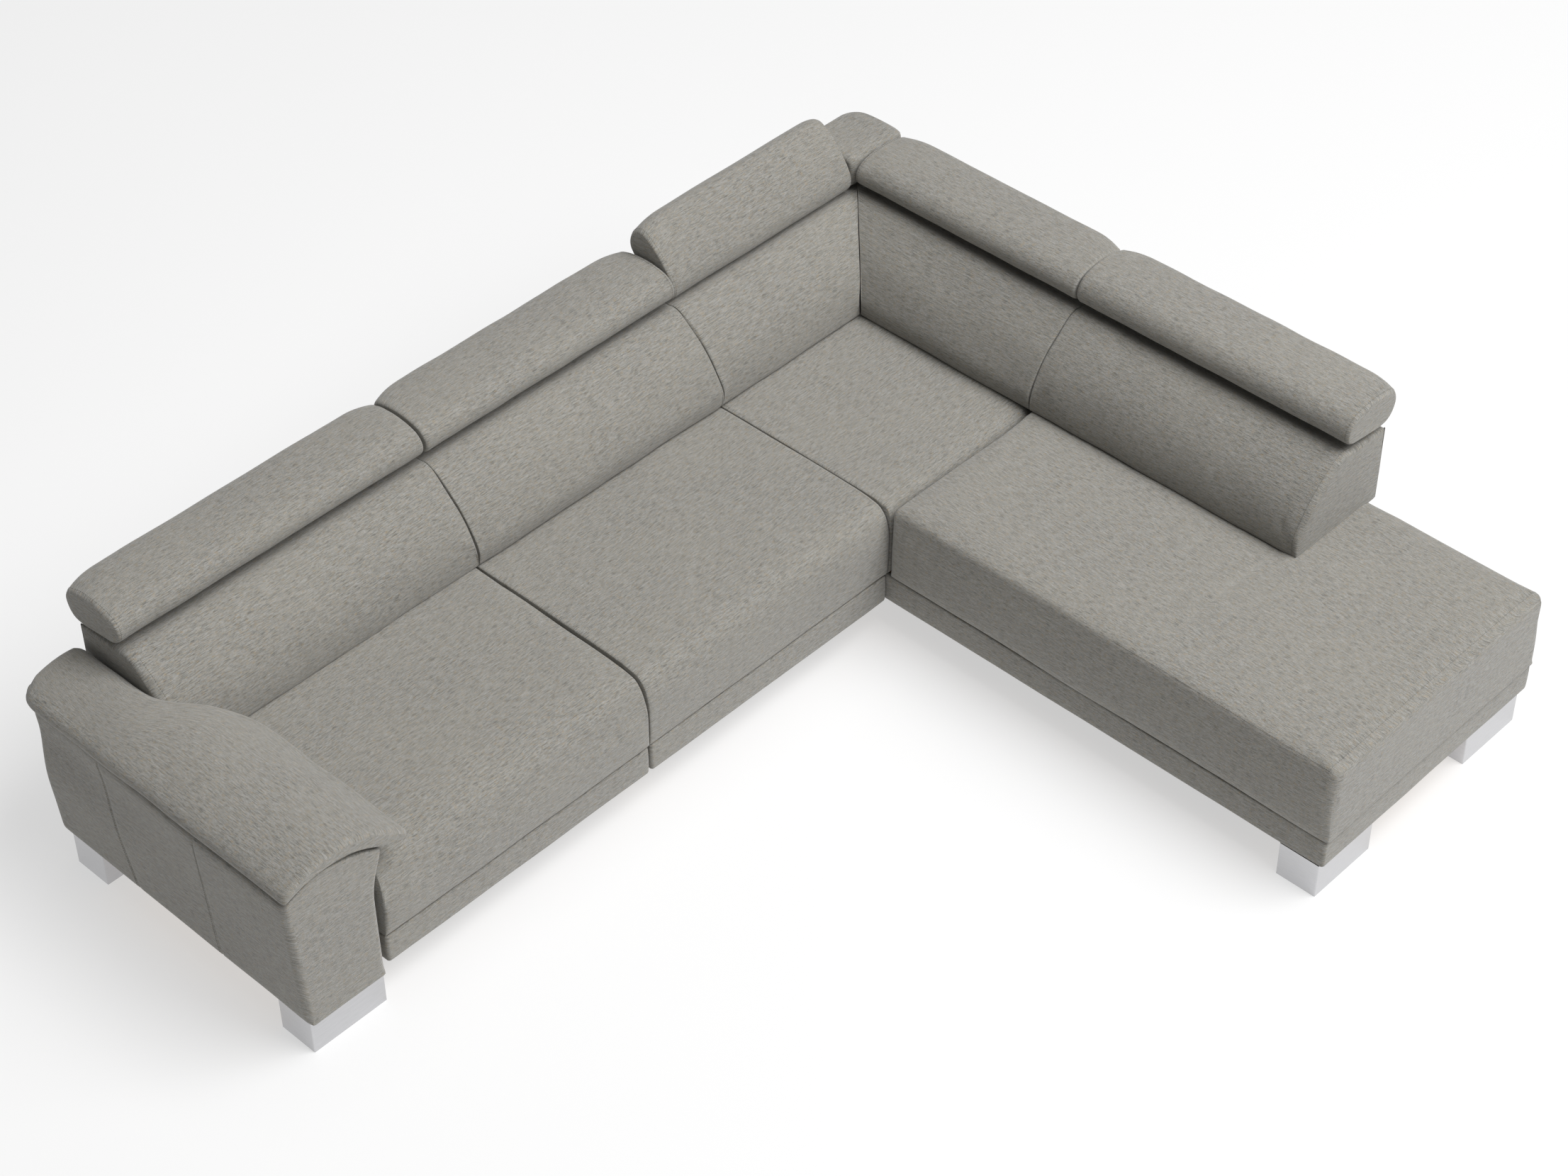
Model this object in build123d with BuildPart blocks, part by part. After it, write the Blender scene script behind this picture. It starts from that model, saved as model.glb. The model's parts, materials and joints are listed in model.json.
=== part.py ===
from build123d import *
import math
import os
from dataclasses import dataclass

os.makedirs("parts", exist_ok=True)

# Corner sofa in millimetres: +X runs along the long wing, +Y to its back, +Z up.
# The origin is on the floor, under the middle of the overall box.

# Plan sizes
left_seat_width = 895.0
middle_seat_width = 901.0
long_seat_depth = 620.0  # base front to the foot of the back cushion, long wing
right_seat_depth = 566.0  # the same on the right wing
chaise_length = 1466.0  # inner corner to the front of the chaise base
chaise_back_length = 919.0  # inner corner to the free end of the right wing's back
module_split = 6.0  # gap between neighbouring seats
module_joint = 1.0  # gap where the two modules are pushed together
corner_seat_inset = 9.0  # the corner seat starts this far inside the inner corner
cushion_overhang = 5.0  # seat cushions stand proud of the base
arm_gap = 24.0
arm_width = 239.0

# Heights
foot_height = 110.0
base_height = 88.0
seat_cushion_thickness = 237.3
spring_wire = 4.0
back_frame_rise = 250.0  # top of the back frames above the seat
hinge_rise = 315.0  # headrest axis above the seat

# Small gaps
soft_gap = 0.3
spring_gap = 0.2
swing_gap = 0.5
pin_gap = 0.05
bolt_gap = 0.2
board_gap = 0.2  # glue line between butted boards

# Base and back construction
base_cover_thickness = 6.0
rail_thickness = 24.0
wide_rail = 45.0
foot_board_thickness = 24.0
foot_board_width = 140.0
dust_cover_thickness = 1.5
webbing_thickness = 2.0
webbing_width = 60.0
webbing_rows = 3
webbing_inset = 12.0  # the webbing ends on the uprights
back_cushion_depth = 307.0
back_frame_thickness = 24.0
back_frame_board = 70.0
rear_cover_thickness = 18.0
rear_cover_lift = 2.0
spring_pitch = 40.0
spring_half_width = 25.0
spring_spacing = 190.0
spring_bend = 0.48  # bend radius as a share of the step

# Arm
arm_front_reach = 20.0  # arm front ahead of the base front
arm_rear_reach = 16.0  # arm rear short of the back's rear face
arm_lean = 30.0  # the outer face leans out over its height
arm_lean_middle = 21.0
arm_flare = 33.0  # the inner lip reaches out over the seat
arm_flare_middle = 12.0
arm_wall = 12.0
arm_board = 24.0
arm_beam_height = 80.0
arm_core_width = 148.0
arm_flare_start = -40.0  # heights of the arm's outline are above the seat
arm_lip_low = 60.0
arm_lip_high = 84.0
arm_crown_rise = 142.0
arm_crown_inset = 139.0  # the top is highest this far outside the inner face
arm_shoulder_rise = 110.0
arm_core_rise = 80.0
arm_edge = 10.0
arm_pad_reach = 104.0  # the pad's inner edge past the arm's inner face
arm_pad_droop = 66.0
arm_pad_tip_rise = 92.0
arm_pad_tip = 24.0
arm_pad_crown_rise = 182.0
arm_pad_shoulder_rise = 148.0
arm_pad_front_reach = 12.0
arm_pad_rear_reach = 40.0
arm_pad_corner = 40.0
arm_pad_turn_front = 470.0  # the inner edge turns in behind the base front
arm_pad_turn_rear = 690.0
arm_pad_tuck = 15.0  # the pad runs on into the room cut out for the back end
back_end_room = 2.5  # room for the padded back end where the arm is cut out for it
back_end_outline = ((-12.0, -back_end_room), (-12.0, 64.0), (22.0, 130.0), (66.0, 186.0), (112.0, 228.0))
arm_bolt_radius = 5.0
arm_bolt_bite = 40.0
arm_bolt_head_radius = 9.0
arm_bolt_head = 7.0
arm_bolt_inset = 100.0
arm_spacer_size = 70.0

# Feet, legs and connectors
foot_length = 231.0
foot_depth = 121.0
foot_wall = 3.0
foot_edge = 2.0
foot_bolt_radius = 4.0
foot_bolt_bite = 20.0
foot_bolt_head_radius = 8.0
foot_bolt_head = 5.0
foot_bolt_spacing = 110.0
arm_foot_inset = 8.0
arm_foot_front_inset = 15.0
arm_foot_rear_inset = 35.0
chaise_foot_inset = 11.0
chaise_foot_side_inset = 22.0
leg_radius = 22.0
leg_flange_radius = 30.0
leg_flange = 4.0
leg_inset = 25.0
leg_front_inset = 330.0
leg_rear_inset = 93.0
leg_middle_inset = 250.0
leg_hidden_inset = 220.0  # set back from the side that shows
connector_length = 80.0
connector_width = 40.0
connector_thickness = 3.0
connector_front_inset = 200.0
connector_rear_inset = 600.0

# Back cushion section: behind the seat line, above the seat
back_lumbar_low = (-7.0, 45.0)
back_lumbar = (6.0, 82.0)
back_middle = (56.0, 163.0)
back_shoulder = (160.0, 248.0)
back_roll = (183.0, 253.0)
back_ledge = (208.0, 246.0)
back_ledge_fall = 2.0
back_end_draw = 16.0
back_end_run = 45.0
cheek_left_width = 87.0
cheek_chaise_width = 60.0

# Soft ends follow a quarter round through these angles
end_angles = (0, 25, 50, 70, 90)

# Seat cushion section
seat_edge = 62.0  # height of the rounded front edge
corner_seat_edge = 30.0
seat_edge_round = (0.38, 0.32)  # middle of the edge's arc, as shares of the edge height
seat_tuck = 10.0
seat_crown_fall_front = 5.0
seat_crown_fall_rear = 8.0
seat_end_draw = 22.0
seat_end_run = 45.0
chaise_end_draw = 58.0
chaise_end_run = 60.0
chaise_side_draw = 28.0

# Headrest section about its hinge axis: behind the axis, above the axis
hinge_depth = 233.0  # hinge axis behind the seat line
pad_front_under = (-38.0, -39.0)
pad_nose_low = (-56.0, -28.0)
pad_nose = (-63.0, -4.0)
pad_nose_high = (-48.0, 27.0)
pad_brow = (-8.0, 39.0)
pad_crown = (78.0, 45.0)
pad_rear_top = (152.0, 35.0)
pad_rear = (167.0, 2.0)
pad_rear_low = (155.0, -28.0)
pad_heel = (131.0, -46.0)
pad_under = (98.0, -52.0)
pad_core_front = (-12.0, 0.0)  # the section is drawn in towards this inner line at the ends
pad_core_rear = (105.0, -8.0)
pad_gap = 4.0
pad_end_draw = 12.0
pad_end_run = 20.0
pad_left_overlap = 10.0  # the left pad reaches past its back
pad_chaise_overlap = 2.0
corner_left_pad_end = 729.0
corner_right_pad_end = 803.0
raised_angle = 48.0  # the corner headrest stands raised
raise_limit = 75.0
raise_spare = 3.0
slit_spread = 1.4

# Headrest fittings
fitting_inset = 170.0
fitting_plate = 4.0
fitting_bar = 22.0
fitting_leg = 20.0
fitting_leg_length = 68.0
fitting_elbow_rise = 10.0
fitting_pin_radius = 5.0
rivet_head_radius = 8.0
rivet_head = 1.5
knuckle_radius = 14.0
knuckle_room = 3.0
swing_arm_reach = (118.0, -10.0)

# Corner block and post
corner_block_side = 8.0  # gap between the block and the two corner headrests
corner_block_reach = 36.0  # the block stands out past the rear covers
corner_block_low = 268.0  # above the seat
corner_block_high = 356.0
corner_block_round = 65.0
corner_block_edge = 16.0
corner_post_rise = 320.0

# Heights and lines that follow from the sizes above
base_top = foot_height + base_height
seat_bottom = base_top + spring_gap + spring_wire + soft_gap
seat_top = seat_bottom + seat_cushion_thickness
hinge_height = seat_top + hinge_rise
frame_top = seat_top + back_frame_rise
webbing_line = back_cushion_depth
frame_front = webbing_line + webbing_thickness
frame_rear = frame_front + back_frame_thickness
back_rear = frame_rear + rear_cover_thickness
headrest_rear = hinge_depth + pad_rear[0]

# The overall box puts the inner corner of the two bases in its place
span_left = middle_seat_width + module_split + left_seat_width + arm_gap + arm_width + arm_lean
span_right = right_seat_depth + headrest_rear
span_front = chaise_length + cushion_overhang
span_rear = long_seat_depth + headrest_rear
inner_x = (span_left - span_right) / 2
inner_y = (span_front - span_rear) / 2
middle_east = inner_x - module_joint
middle_west = inner_x - middle_seat_width
left_east = middle_west - module_split
left_west = left_east - left_seat_width
arm_inner = left_west - arm_gap
arm_outer = arm_inner - arm_width
arm_side = arm_outer - arm_lean
long_rear = inner_y + long_seat_depth + frame_rear
chaise_east = inner_x + right_seat_depth + frame_rear
chaise_front = inner_y - chaise_length
arm_front = inner_y - arm_front_reach
arm_rear = inner_y + long_seat_depth + back_rear - arm_rear_reach


@dataclass
class Wing:
    """One wing of the sofa: along runs beside the seats, into points to the back."""

    along: Vector
    into: Vector
    seat_depth: float


long_wing = Wing(Vector(1, 0, 0), Vector(0, 1, 0), long_seat_depth)
right_wing = Wing(Vector(0, -1, 0), Vector(1, 0, 0), right_seat_depth)


def section_plane(wing, along, depth=0.0, height=0.0, turn=0.0):
    """Plane across a wing: X goes into the back from its seat line, Y goes up, Z runs along."""
    up = Vector(0, 0, 1)
    start = Vector(inner_x, inner_y, height)
    origin = start + wing.along * along + wing.into * (wing.seat_depth + depth)
    lean = math.radians(turn)
    across = wing.into * math.cos(lean) + up * math.sin(lean)
    return Plane(origin=origin, x_dir=across, z_dir=wing.along)


def block(west, east, front, rear, low, high, mode=Mode.ADD):
    """A plain board between two corners."""
    middle = ((west + east) / 2, (front + rear) / 2, (low + high) / 2)
    with Locations(middle):
        Box(east - west, rear - front, high - low, mode=mode)


def slab(plane, near, far, low, high, thickness, mode=Mode.ADD):
    """A board drawn on a section plane, run along it by its thickness."""
    with BuildSketch(plane) as board:
        with Locations(((near + far) / 2, (low + high) / 2)):
            Rectangle(far - near, high - low)
    extrude(board.sketch, amount=thickness, mode=mode)


def rod(start, direction, radius, length, mode=Mode.ADD):
    """A round rod from a point along a direction."""
    with BuildSketch(Plane(origin=start, z_dir=direction)) as end:
        Circle(radius)
    extrude(end.sketch, amount=length, mode=mode)


def save(piece, name):
    """Label a finished piece and write it."""
    piece.part.label = name
    export_step(piece.part, f"parts/{name}.step")


def end_stations(start, end, run_start, run_end):
    """Places along a soft piece, with how far it is drawn in there: 1 at an end, 0 inside."""
    turns = [math.radians(angle) for angle in end_angles]
    first = [(start + run_start * (1 - math.cos(t)), 1 - math.sin(t)) for t in turns]
    last = [(end - run_end * (1 - math.cos(t)), 1 - math.sin(t)) for t in reversed(turns)]
    return first, last


def back_section(plane, draw, rear, foot=soft_gap):
    """Section of a back cushion, its front and top drawn in by draw."""

    def front(point):
        return (point[0] + draw, seat_top + point[1])

    def top(point):
        return (point[0] + draw / 2, seat_top + point[1] - draw)

    ledge_rear = (rear, seat_top + back_ledge[1] - back_ledge_fall - draw)
    with BuildSketch(plane) as section:
        with BuildLine():
            ThreePointArc(front((0, foot)), front(back_lumbar_low), front(back_lumbar))
            ThreePointArc(front(back_lumbar), front(back_middle), top(back_shoulder))
            ThreePointArc(top(back_shoulder), top(back_roll), top(back_ledge))
            Line(top(back_ledge), ledge_rear)
            Line(ledge_rear, (rear, seat_top + foot))
            Line((rear, seat_top + foot), front((0, foot)))
        make_face()
    return section.sketch


def seat_section(plane, front, rear, edge, draw):
    """Section of a seat cushion with a rounded front edge and a crowned top."""
    near = front + draw
    top = seat_top - draw
    under = (near + seat_tuck, seat_bottom)
    edge_low = (near + edge / 10, top - edge)
    edge_top = (near + edge, top - seat_crown_fall_front)
    rear_top = (rear, top - seat_crown_fall_rear)
    bulge = (near + edge * seat_edge_round[0], top - edge * seat_edge_round[1])
    with BuildSketch(plane) as section:
        with BuildLine():
            ThreePointArc(under, (near, (seat_bottom + top - edge) / 2), edge_low)
            ThreePointArc(edge_low, bulge, edge_top)
            ThreePointArc(edge_top, ((near + rear) / 2, top), rear_top)
            Line(rear_top, (rear, seat_bottom))
            Line((rear, seat_bottom), under)
        make_face()
    return section.sketch


def chaise_section(plane, west, east, draw_side, draw_top):
    """Section across the chaise cushion, rounded along both sides."""
    near = west + draw_side
    far = east - draw_side
    top = seat_top - draw_top
    edge = min(seat_edge, (top - seat_bottom) / 2)
    half = (seat_bottom + top - edge) / 2
    under_near = (near + seat_tuck, seat_bottom)
    under_far = (far - seat_tuck, seat_bottom)
    side_near = (near + edge / 10, top - edge)
    side_far = (far - edge / 10, top - edge)
    top_near = (near + edge, top - seat_crown_fall_front)
    top_far = (far - edge, top - seat_crown_fall_front)
    bulge_near = (near + edge * seat_edge_round[0], top - edge * seat_edge_round[1])
    bulge_far = (far - edge * seat_edge_round[0], top - edge * seat_edge_round[1])
    with BuildSketch(plane) as section:
        with BuildLine():
            ThreePointArc(under_near, (near, half), side_near)
            ThreePointArc(side_near, bulge_near, top_near)
            ThreePointArc(top_near, ((near + far) / 2, top), top_far)
            ThreePointArc(top_far, bulge_far, side_far)
            ThreePointArc(side_far, (far, half), under_far)
            Line(under_far, under_near)
        make_face()
    return section.sketch


def drawn_in(point, draw):
    """A headrest section point moved towards the inner line of the section."""
    start = Vector(*pad_core_front)
    core = Vector(*pad_core_rear) - start
    share = (Vector(*point) - start).dot(core) / core.dot(core)
    inside = start + core * min(max(share, 0), 1)
    outwards = (Vector(*point) - inside).normalized()
    moved = Vector(*point) - outwards * draw
    return (moved.X, moved.Y)


def pad_section(plane, draw):
    """Section of a headrest pad about its hinge axis."""
    under, low, nose, high, brow, crown, top, rear, rear_low, heel, under_rear = [
        drawn_in(point, draw)
        for point in (
            pad_front_under, pad_nose_low, pad_nose, pad_nose_high, pad_brow, pad_crown,
            pad_rear_top, pad_rear, pad_rear_low, pad_heel, pad_under,
        )
    ]
    with BuildSketch(plane) as section:
        with BuildLine():
            ThreePointArc(under, low, nose)
            ThreePointArc(nose, high, brow)
            ThreePointArc(brow, crown, top)
            ThreePointArc(top, rear, rear_low)
            ThreePointArc(rear_low, heel, under_rear)
            Line(under_rear, under)
        make_face()
    return section.sketch


# Feet and their bolts

foot_top_inside = foot_height - foot_wall
arm_foot_west = arm_outer + arm_foot_inset
arm_foot_front = arm_front + arm_foot_front_inset
arm_foot_rear = arm_rear - arm_foot_rear_inset - foot_depth
chaise_foot_front = chaise_front + chaise_foot_inset
chaise_foot_east = chaise_east - chaise_foot_side_inset - foot_length
feet = {
    "foot_arm_front": (arm_foot_west, arm_foot_front),
    "foot_arm_rear": (arm_foot_west, arm_foot_rear),
    "foot_chaise_inner": (inner_x, chaise_foot_front),
    "foot_chaise_outer": (chaise_foot_east, chaise_foot_front),
}


def foot_bolt_places(corner):
    """The two bolt axes of a foot, given the foot's front left corner."""
    middle = corner[0] + foot_length / 2
    row = corner[1] + foot_depth / 2
    return [(middle - foot_bolt_spacing / 2, row), (middle + foot_bolt_spacing / 2, row)]


def foot_bolt_holes(corner):
    """Cut the bolt holes of a foot, through its top and up into the wood."""
    for east, north in foot_bolt_places(corner):
        start = (east, north, foot_top_inside)
        rod(start, (0, 0, 1), foot_bolt_radius + bolt_gap, foot_wall + foot_bolt_bite, Mode.SUBTRACT)


for name, corner in feet.items():
    west, front = corner
    with BuildPart() as foot:
        block(west, west + foot_length, front, front + foot_depth, 0, foot_height)
        fillet(foot.edges().filter_by(Axis.Z), foot_edge)
        inner = (west + foot_wall, west + foot_length - foot_wall)
        block(*inner, front + foot_wall, front + foot_depth - foot_wall, 0, foot_top_inside, Mode.SUBTRACT)
        foot_bolt_holes(corner)
    save(foot, name)

with BuildPart() as foot_bolts:
    for corner in feet.values():
        for east, north in foot_bolt_places(corner):
            head_start = (east, north, foot_top_inside - foot_bolt_head)
            rod(head_start, (0, 0, 1), foot_bolt_head_radius, foot_bolt_head)
            shank = foot_wall + foot_bolt_bite
            rod((east, north, foot_top_inside), (0, 0, 1), foot_bolt_radius, shank)
save(foot_bolts, "foot_bolts")

# Bases: boards butted into frames, fabric strips round them, a dust cover below

arm_bolt_height = foot_height + base_height / 2
arm_bolt_rows = (inner_y + arm_bolt_inset, long_rear - arm_bolt_inset)
arm_bolt_head_seat = left_west + base_cover_thickness + rail_thickness
arm_bolt_length = base_cover_thickness + rail_thickness + arm_gap + arm_wall + arm_bolt_bite


def arm_bolt_holes():
    """Cut the way of the bolts that join the arm to the left base."""
    for row in arm_bolt_rows:
        start = (arm_bolt_head_seat, row, arm_bolt_height)
        rod(start, (-1, 0, 0), arm_bolt_radius + bolt_gap, arm_bolt_length, Mode.SUBTRACT)


def make_base(name, west, east, front, rear, east_rail, bolted=False, footed=()):
    """Frame, cover strips and dust cover of one base."""
    skin = base_cover_thickness
    rails = (west + skin + rail_thickness, east - skin - east_rail)
    rail_rows = (front + skin + rail_thickness, rear - skin - wide_rail)
    sides = (rail_rows[0] + board_gap, rail_rows[1] - board_gap)
    levels = (foot_height, base_top)
    dust_front = rail_rows[0]
    between = (rails[0] + board_gap, rails[1] - board_gap)
    with BuildPart() as frame:
        block(west + skin, east - skin, front + skin, rail_rows[0], *levels)
        block(west + skin, east - skin, rail_rows[1], rear - skin, *levels)
        block(west + skin, rails[0], *sides, *levels)
        block(rails[1], east - skin, *sides, *levels)
        if footed:
            board_rear = rail_rows[0] + foot_board_width
            board_levels = (foot_height, foot_height + foot_board_thickness)
            block(*between, rail_rows[0] + board_gap, board_rear, *board_levels)
            dust_front = board_rear
            cross = (inner_y - leg_middle_inset - wide_rail / 2, inner_y - leg_middle_inset + wide_rail / 2)
            block(*between, *cross, foot_height + dust_cover_thickness, base_top)
        for corner in footed:
            foot_bolt_holes(corner)
        if bolted:
            arm_bolt_holes()
    save(frame, f"base_frame_{name}")
    with BuildPart() as cover:
        strips = (front + skin + board_gap, rear - skin - board_gap)
        block(west, east, front, front + skin, *levels)
        block(west, east, rear - skin, rear, *levels)
        block(west, west + skin, *strips, *levels)
        block(east - skin, east, *strips, *levels)
        if bolted:
            arm_bolt_holes()
    save(cover, f"base_cover_{name}")
    with BuildPart() as dust_cover:
        block(*rails, dust_front, rail_rows[1], foot_height, foot_height + dust_cover_thickness)
    save(dust_cover, f"dust_cover_{name}")


chaise_feet = (feet["foot_chaise_inner"], feet["foot_chaise_outer"])
make_base("left", left_west, left_east, inner_y, long_rear, rail_thickness, bolted=True)
make_base("middle", middle_west, middle_east, inner_y, long_rear, rail_thickness)
make_base("chaise", inner_x, chaise_east, chaise_front, long_rear, wide_rail, footed=chaise_feet)

# Hidden support legs under the base rails
rail_line = base_cover_thickness + leg_inset
leg_places = [
    (left_east - rail_line, inner_y + leg_front_inset),
    (left_east - rail_line, long_rear - leg_rear_inset),
    (middle_east - rail_line, inner_y + leg_front_inset),
    (middle_east - rail_line, long_rear - leg_rear_inset),
    (inner_x + leg_hidden_inset, inner_y - leg_middle_inset),
    (chaise_east - rail_line, inner_y - leg_middle_inset),
    (inner_x + rail_line, long_rear - leg_rear_inset),
    (chaise_east - rail_line, long_rear - leg_rear_inset),
]
with BuildPart() as support_legs:
    for east, north in leg_places:
        rod((east, north, 0), (0, 0, 1), leg_radius, foot_height - leg_flange)
        rod((east, north, foot_height - leg_flange), (0, 0, 1), leg_flange_radius, leg_flange)
save(support_legs, "support_legs")

# Steel plates that hold the two modules together
with BuildPart() as module_connectors:
    seam = (middle_east + inner_x) / 2
    for row in (inner_y + connector_front_inset, inner_y + connector_rear_inset):
        plate = (seam - connector_length / 2, seam + connector_length / 2)
        rows = (row - connector_width / 2, row + connector_width / 2)
        block(*plate, *rows, foot_height - connector_thickness, foot_height)
save(module_connectors, "module_connectors")

# Zigzag seat springs, laid from rail to rail

spring_height = base_top + spring_gap + spring_wire / 2


def zigzag(span):
    """One spring that runs along +X from the origin."""
    bars = int(span // spring_pitch)
    step = span / bars
    points = []
    for bar in range(bars + 1):
        side = spring_half_width if bar % 2 else -spring_half_width
        points += [(bar * step, side), (bar * step, -side)]
    with BuildPart() as spring:
        with BuildLine() as path:
            FilletPolyline(*points, radius=step * spring_bend)
        with BuildSketch(Plane(origin=path.line @ 0, z_dir=path.line % 0)):
            Circle(spring_wire / 2)
        sweep()
    return spring.part


def spring_rows(start, end):
    """Even places for springs across a seat."""
    count = int((end - start) // spring_spacing)
    step = (end - start) / count
    return [start + step * (place + 0.5) for place in range(count)]


rail_middle = base_cover_thickness + rail_thickness / 2
rear_seat = base_cover_thickness + wide_rail - rail_thickness / 2
long_span = long_rear - inner_y - rail_middle - rear_seat
right_span = chaise_east - inner_x - rail_middle - rear_seat
long_spring = zigzag(long_span)
right_spring = zigzag(right_span)
for name, west, east in (("left", left_west, left_east), ("middle", middle_west, middle_east)):
    with BuildPart() as springs:
        for column in spring_rows(west, east):
            with Locations(Location((column, inner_y + rail_middle, spring_height), (0, 0, 90))):
                add(long_spring)
    save(springs, f"seat_springs_{name}")
corner_rows = (inner_y, long_rear - wide_rail)
chaise_rows = (chaise_front + foot_board_width, inner_y)
for name, (front, rear) in (("corner", corner_rows), ("chaise", chaise_rows)):
    with BuildPart() as springs:
        for row in spring_rows(front, rear):
            with Locations((inner_x + rail_middle, row, spring_height)):
                add(right_spring)
    save(springs, f"seat_springs_{name}")

# Seat cushions

corner_seat_west = corner_seat_inset
middle_cushion_east = corner_seat_west - module_split
seats = {
    "left": (left_west - inner_x, left_east - inner_x, seat_edge),
    "middle": (middle_west - inner_x, middle_cushion_east, seat_edge),
    "corner": (corner_seat_west, right_seat_depth + back_cushion_depth, corner_seat_edge),
}
for name, (start, end, edge) in seats.items():
    with BuildPart() as seat_cushion:
        first, last = end_stations(start, end, seat_end_run, seat_end_run)
        rear = long_seat_depth + back_cushion_depth
        sections = []
        for place, share in first + last:
            plane = section_plane(long_wing, place, depth=-long_seat_depth)
            sections.append(seat_section(plane, -cushion_overhang, rear, edge, seat_end_draw * share))
        loft(sections, ruled=True)
    save(seat_cushion, f"seat_cushion_{name}")

chaise_cushion_front = chaise_length + cushion_overhang
chaise_cushion_rear = cushion_overhang + module_split
chaise_cushion_width = chaise_east - inner_x + cushion_overhang
with BuildPart() as seat_cushion_chaise:
    first, last = end_stations(chaise_cushion_rear, chaise_cushion_front, seat_end_run, chaise_end_run)
    sides = (-cushion_overhang, chaise_cushion_width)
    sections = []
    for place, share in first:
        plane = section_plane(right_wing, place, depth=-right_seat_depth)
        sections.append(chaise_section(plane, *sides, seat_end_draw * share / 2, seat_end_draw * share))
    for place, share in last:
        plane = section_plane(right_wing, place, depth=-right_seat_depth)
        sections.append(chaise_section(plane, *sides, chaise_side_draw * share, chaise_end_draw * share))
    loft(sections, ruled=True)
    notch_west = inner_x + right_seat_depth + back_cushion_depth
    notch_front = inner_y - chaise_back_length + cheek_chaise_width - module_split
    notch = (notch_west, chaise_east + cushion_overhang * 2, notch_front, inner_y)
    block(*notch, seat_bottom - soft_gap, seat_top + soft_gap, Mode.SUBTRACT)
save(seat_cushion_chaise, "seat_cushion_chaise")

# Headrest fittings: a bracket on the back frame, a swinging arm in the pad, a riveted pin

elbow = (frame_front + back_frame_thickness / 2, frame_top + fitting_elbow_rise)
elbow_from_hinge = Vector(elbow[0] - hinge_depth, elbow[1] - hinge_height)
bar_angle = math.degrees(math.atan2(elbow_from_hinge.Y, elbow_from_hinge.X))
leg_near = elbow[0] - fitting_leg / 2
leg_far = elbow[0] + fitting_leg / 2
leg_low = frame_top - fitting_leg_length
swing_start = fitting_plate + swing_gap
rivet_start = -rivet_head
rivet_end = swing_start + fitting_plate + swing_gap


def bar_sketch(plane, end, width, hole):
    """A flat bar from the plane's origin to a point, with a round eye and its hole."""
    reach = Vector(*end)
    tilt = math.degrees(math.atan2(reach.Y, reach.X))
    with BuildSketch(plane) as bar:
        with Locations((reach.X / 2, reach.Y / 2)):
            SlotCenterToCenter(reach.length, width, rotation=tilt)
        Circle(knuckle_radius)
        if hole:
            Circle(hole, mode=Mode.SUBTRACT)
    return bar.sketch


def cut_fitting_room(wing, along, turn):
    """Cut the room of one fitting out of a pad: knuckle, bracket slit and swing arm."""
    room = section_plane(wing, along - rivet_head - swing_gap, hinge_depth, hinge_height, turn)
    with BuildSketch(room) as knuckle:
        Circle(knuckle_radius + knuckle_room)
    extrude(knuckle.sketch, amount=rivet_end + 2 * rivet_head + 2 * swing_gap, mode=Mode.SUBTRACT)
    reach = elbow_from_hinge.length + fitting_bar
    side = fitting_bar / 2 + knuckle_room
    sweep_end = bar_angle - raise_limit - raise_spare
    first = Vector(1, 0).rotate(Axis.Z, bar_angle)
    last = Vector(1, 0).rotate(Axis.Z, sweep_end)
    first_up = Vector(0, 1).rotate(Axis.Z, bar_angle) * side
    last_down = Vector(0, -1).rotate(Axis.Z, sweep_end) * side
    middle = Vector(1, 0).rotate(Axis.Z, (bar_angle + sweep_end) / 2) * reach * slit_spread
    corners = (first_up, first * reach + first_up, middle, last * reach + last_down, last_down)
    with BuildSketch(section_plane(wing, along - swing_gap, hinge_depth, hinge_height, turn)) as slit:
        with BuildLine():
            Polyline(*[(corner.X, corner.Y) for corner in corners], close=True)
        make_face()
    extrude(slit.sketch, amount=fitting_plate + 2 * swing_gap, mode=Mode.SUBTRACT)
    swing = section_plane(wing, along + swing_start, hinge_depth, hinge_height, turn)
    extrude(bar_sketch(swing, swing_arm_reach, fitting_bar, 0), amount=fitting_plate, mode=Mode.SUBTRACT)


# Each back: its wing, its cushion and frame from and to, its headrest from and to, its rest angle
left_start = left_west - inner_x
left_end = left_east - inner_x
middle_start = middle_west - inner_x
right_frame_front = right_seat_depth + frame_front
right_mitre_end = right_seat_depth + back_cushion_depth
long_mitre_end = long_seat_depth + back_cushion_depth
chaise_start = cushion_overhang + module_split
cheek_start = chaise_back_length - cheek_chaise_width
left_pad_start = left_start - cheek_left_width - pad_left_overlap
split_pad = (left_end + middle_start) / 2
corner_pad = middle_cushion_east + module_split / 2
chaise_pad = chaise_start - module_split / 2
half_gap = pad_gap / 2


@dataclass
class Back:
    """One back with its headrest, in places along its wing."""

    wing: Wing
    cushion: tuple
    frame: tuple
    pad: tuple
    turn: float = 0.0

    def fittings(self):
        last = self.pad[1] - fitting_inset - rivet_end
        return (self.pad[0] + fitting_inset, last)


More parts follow.
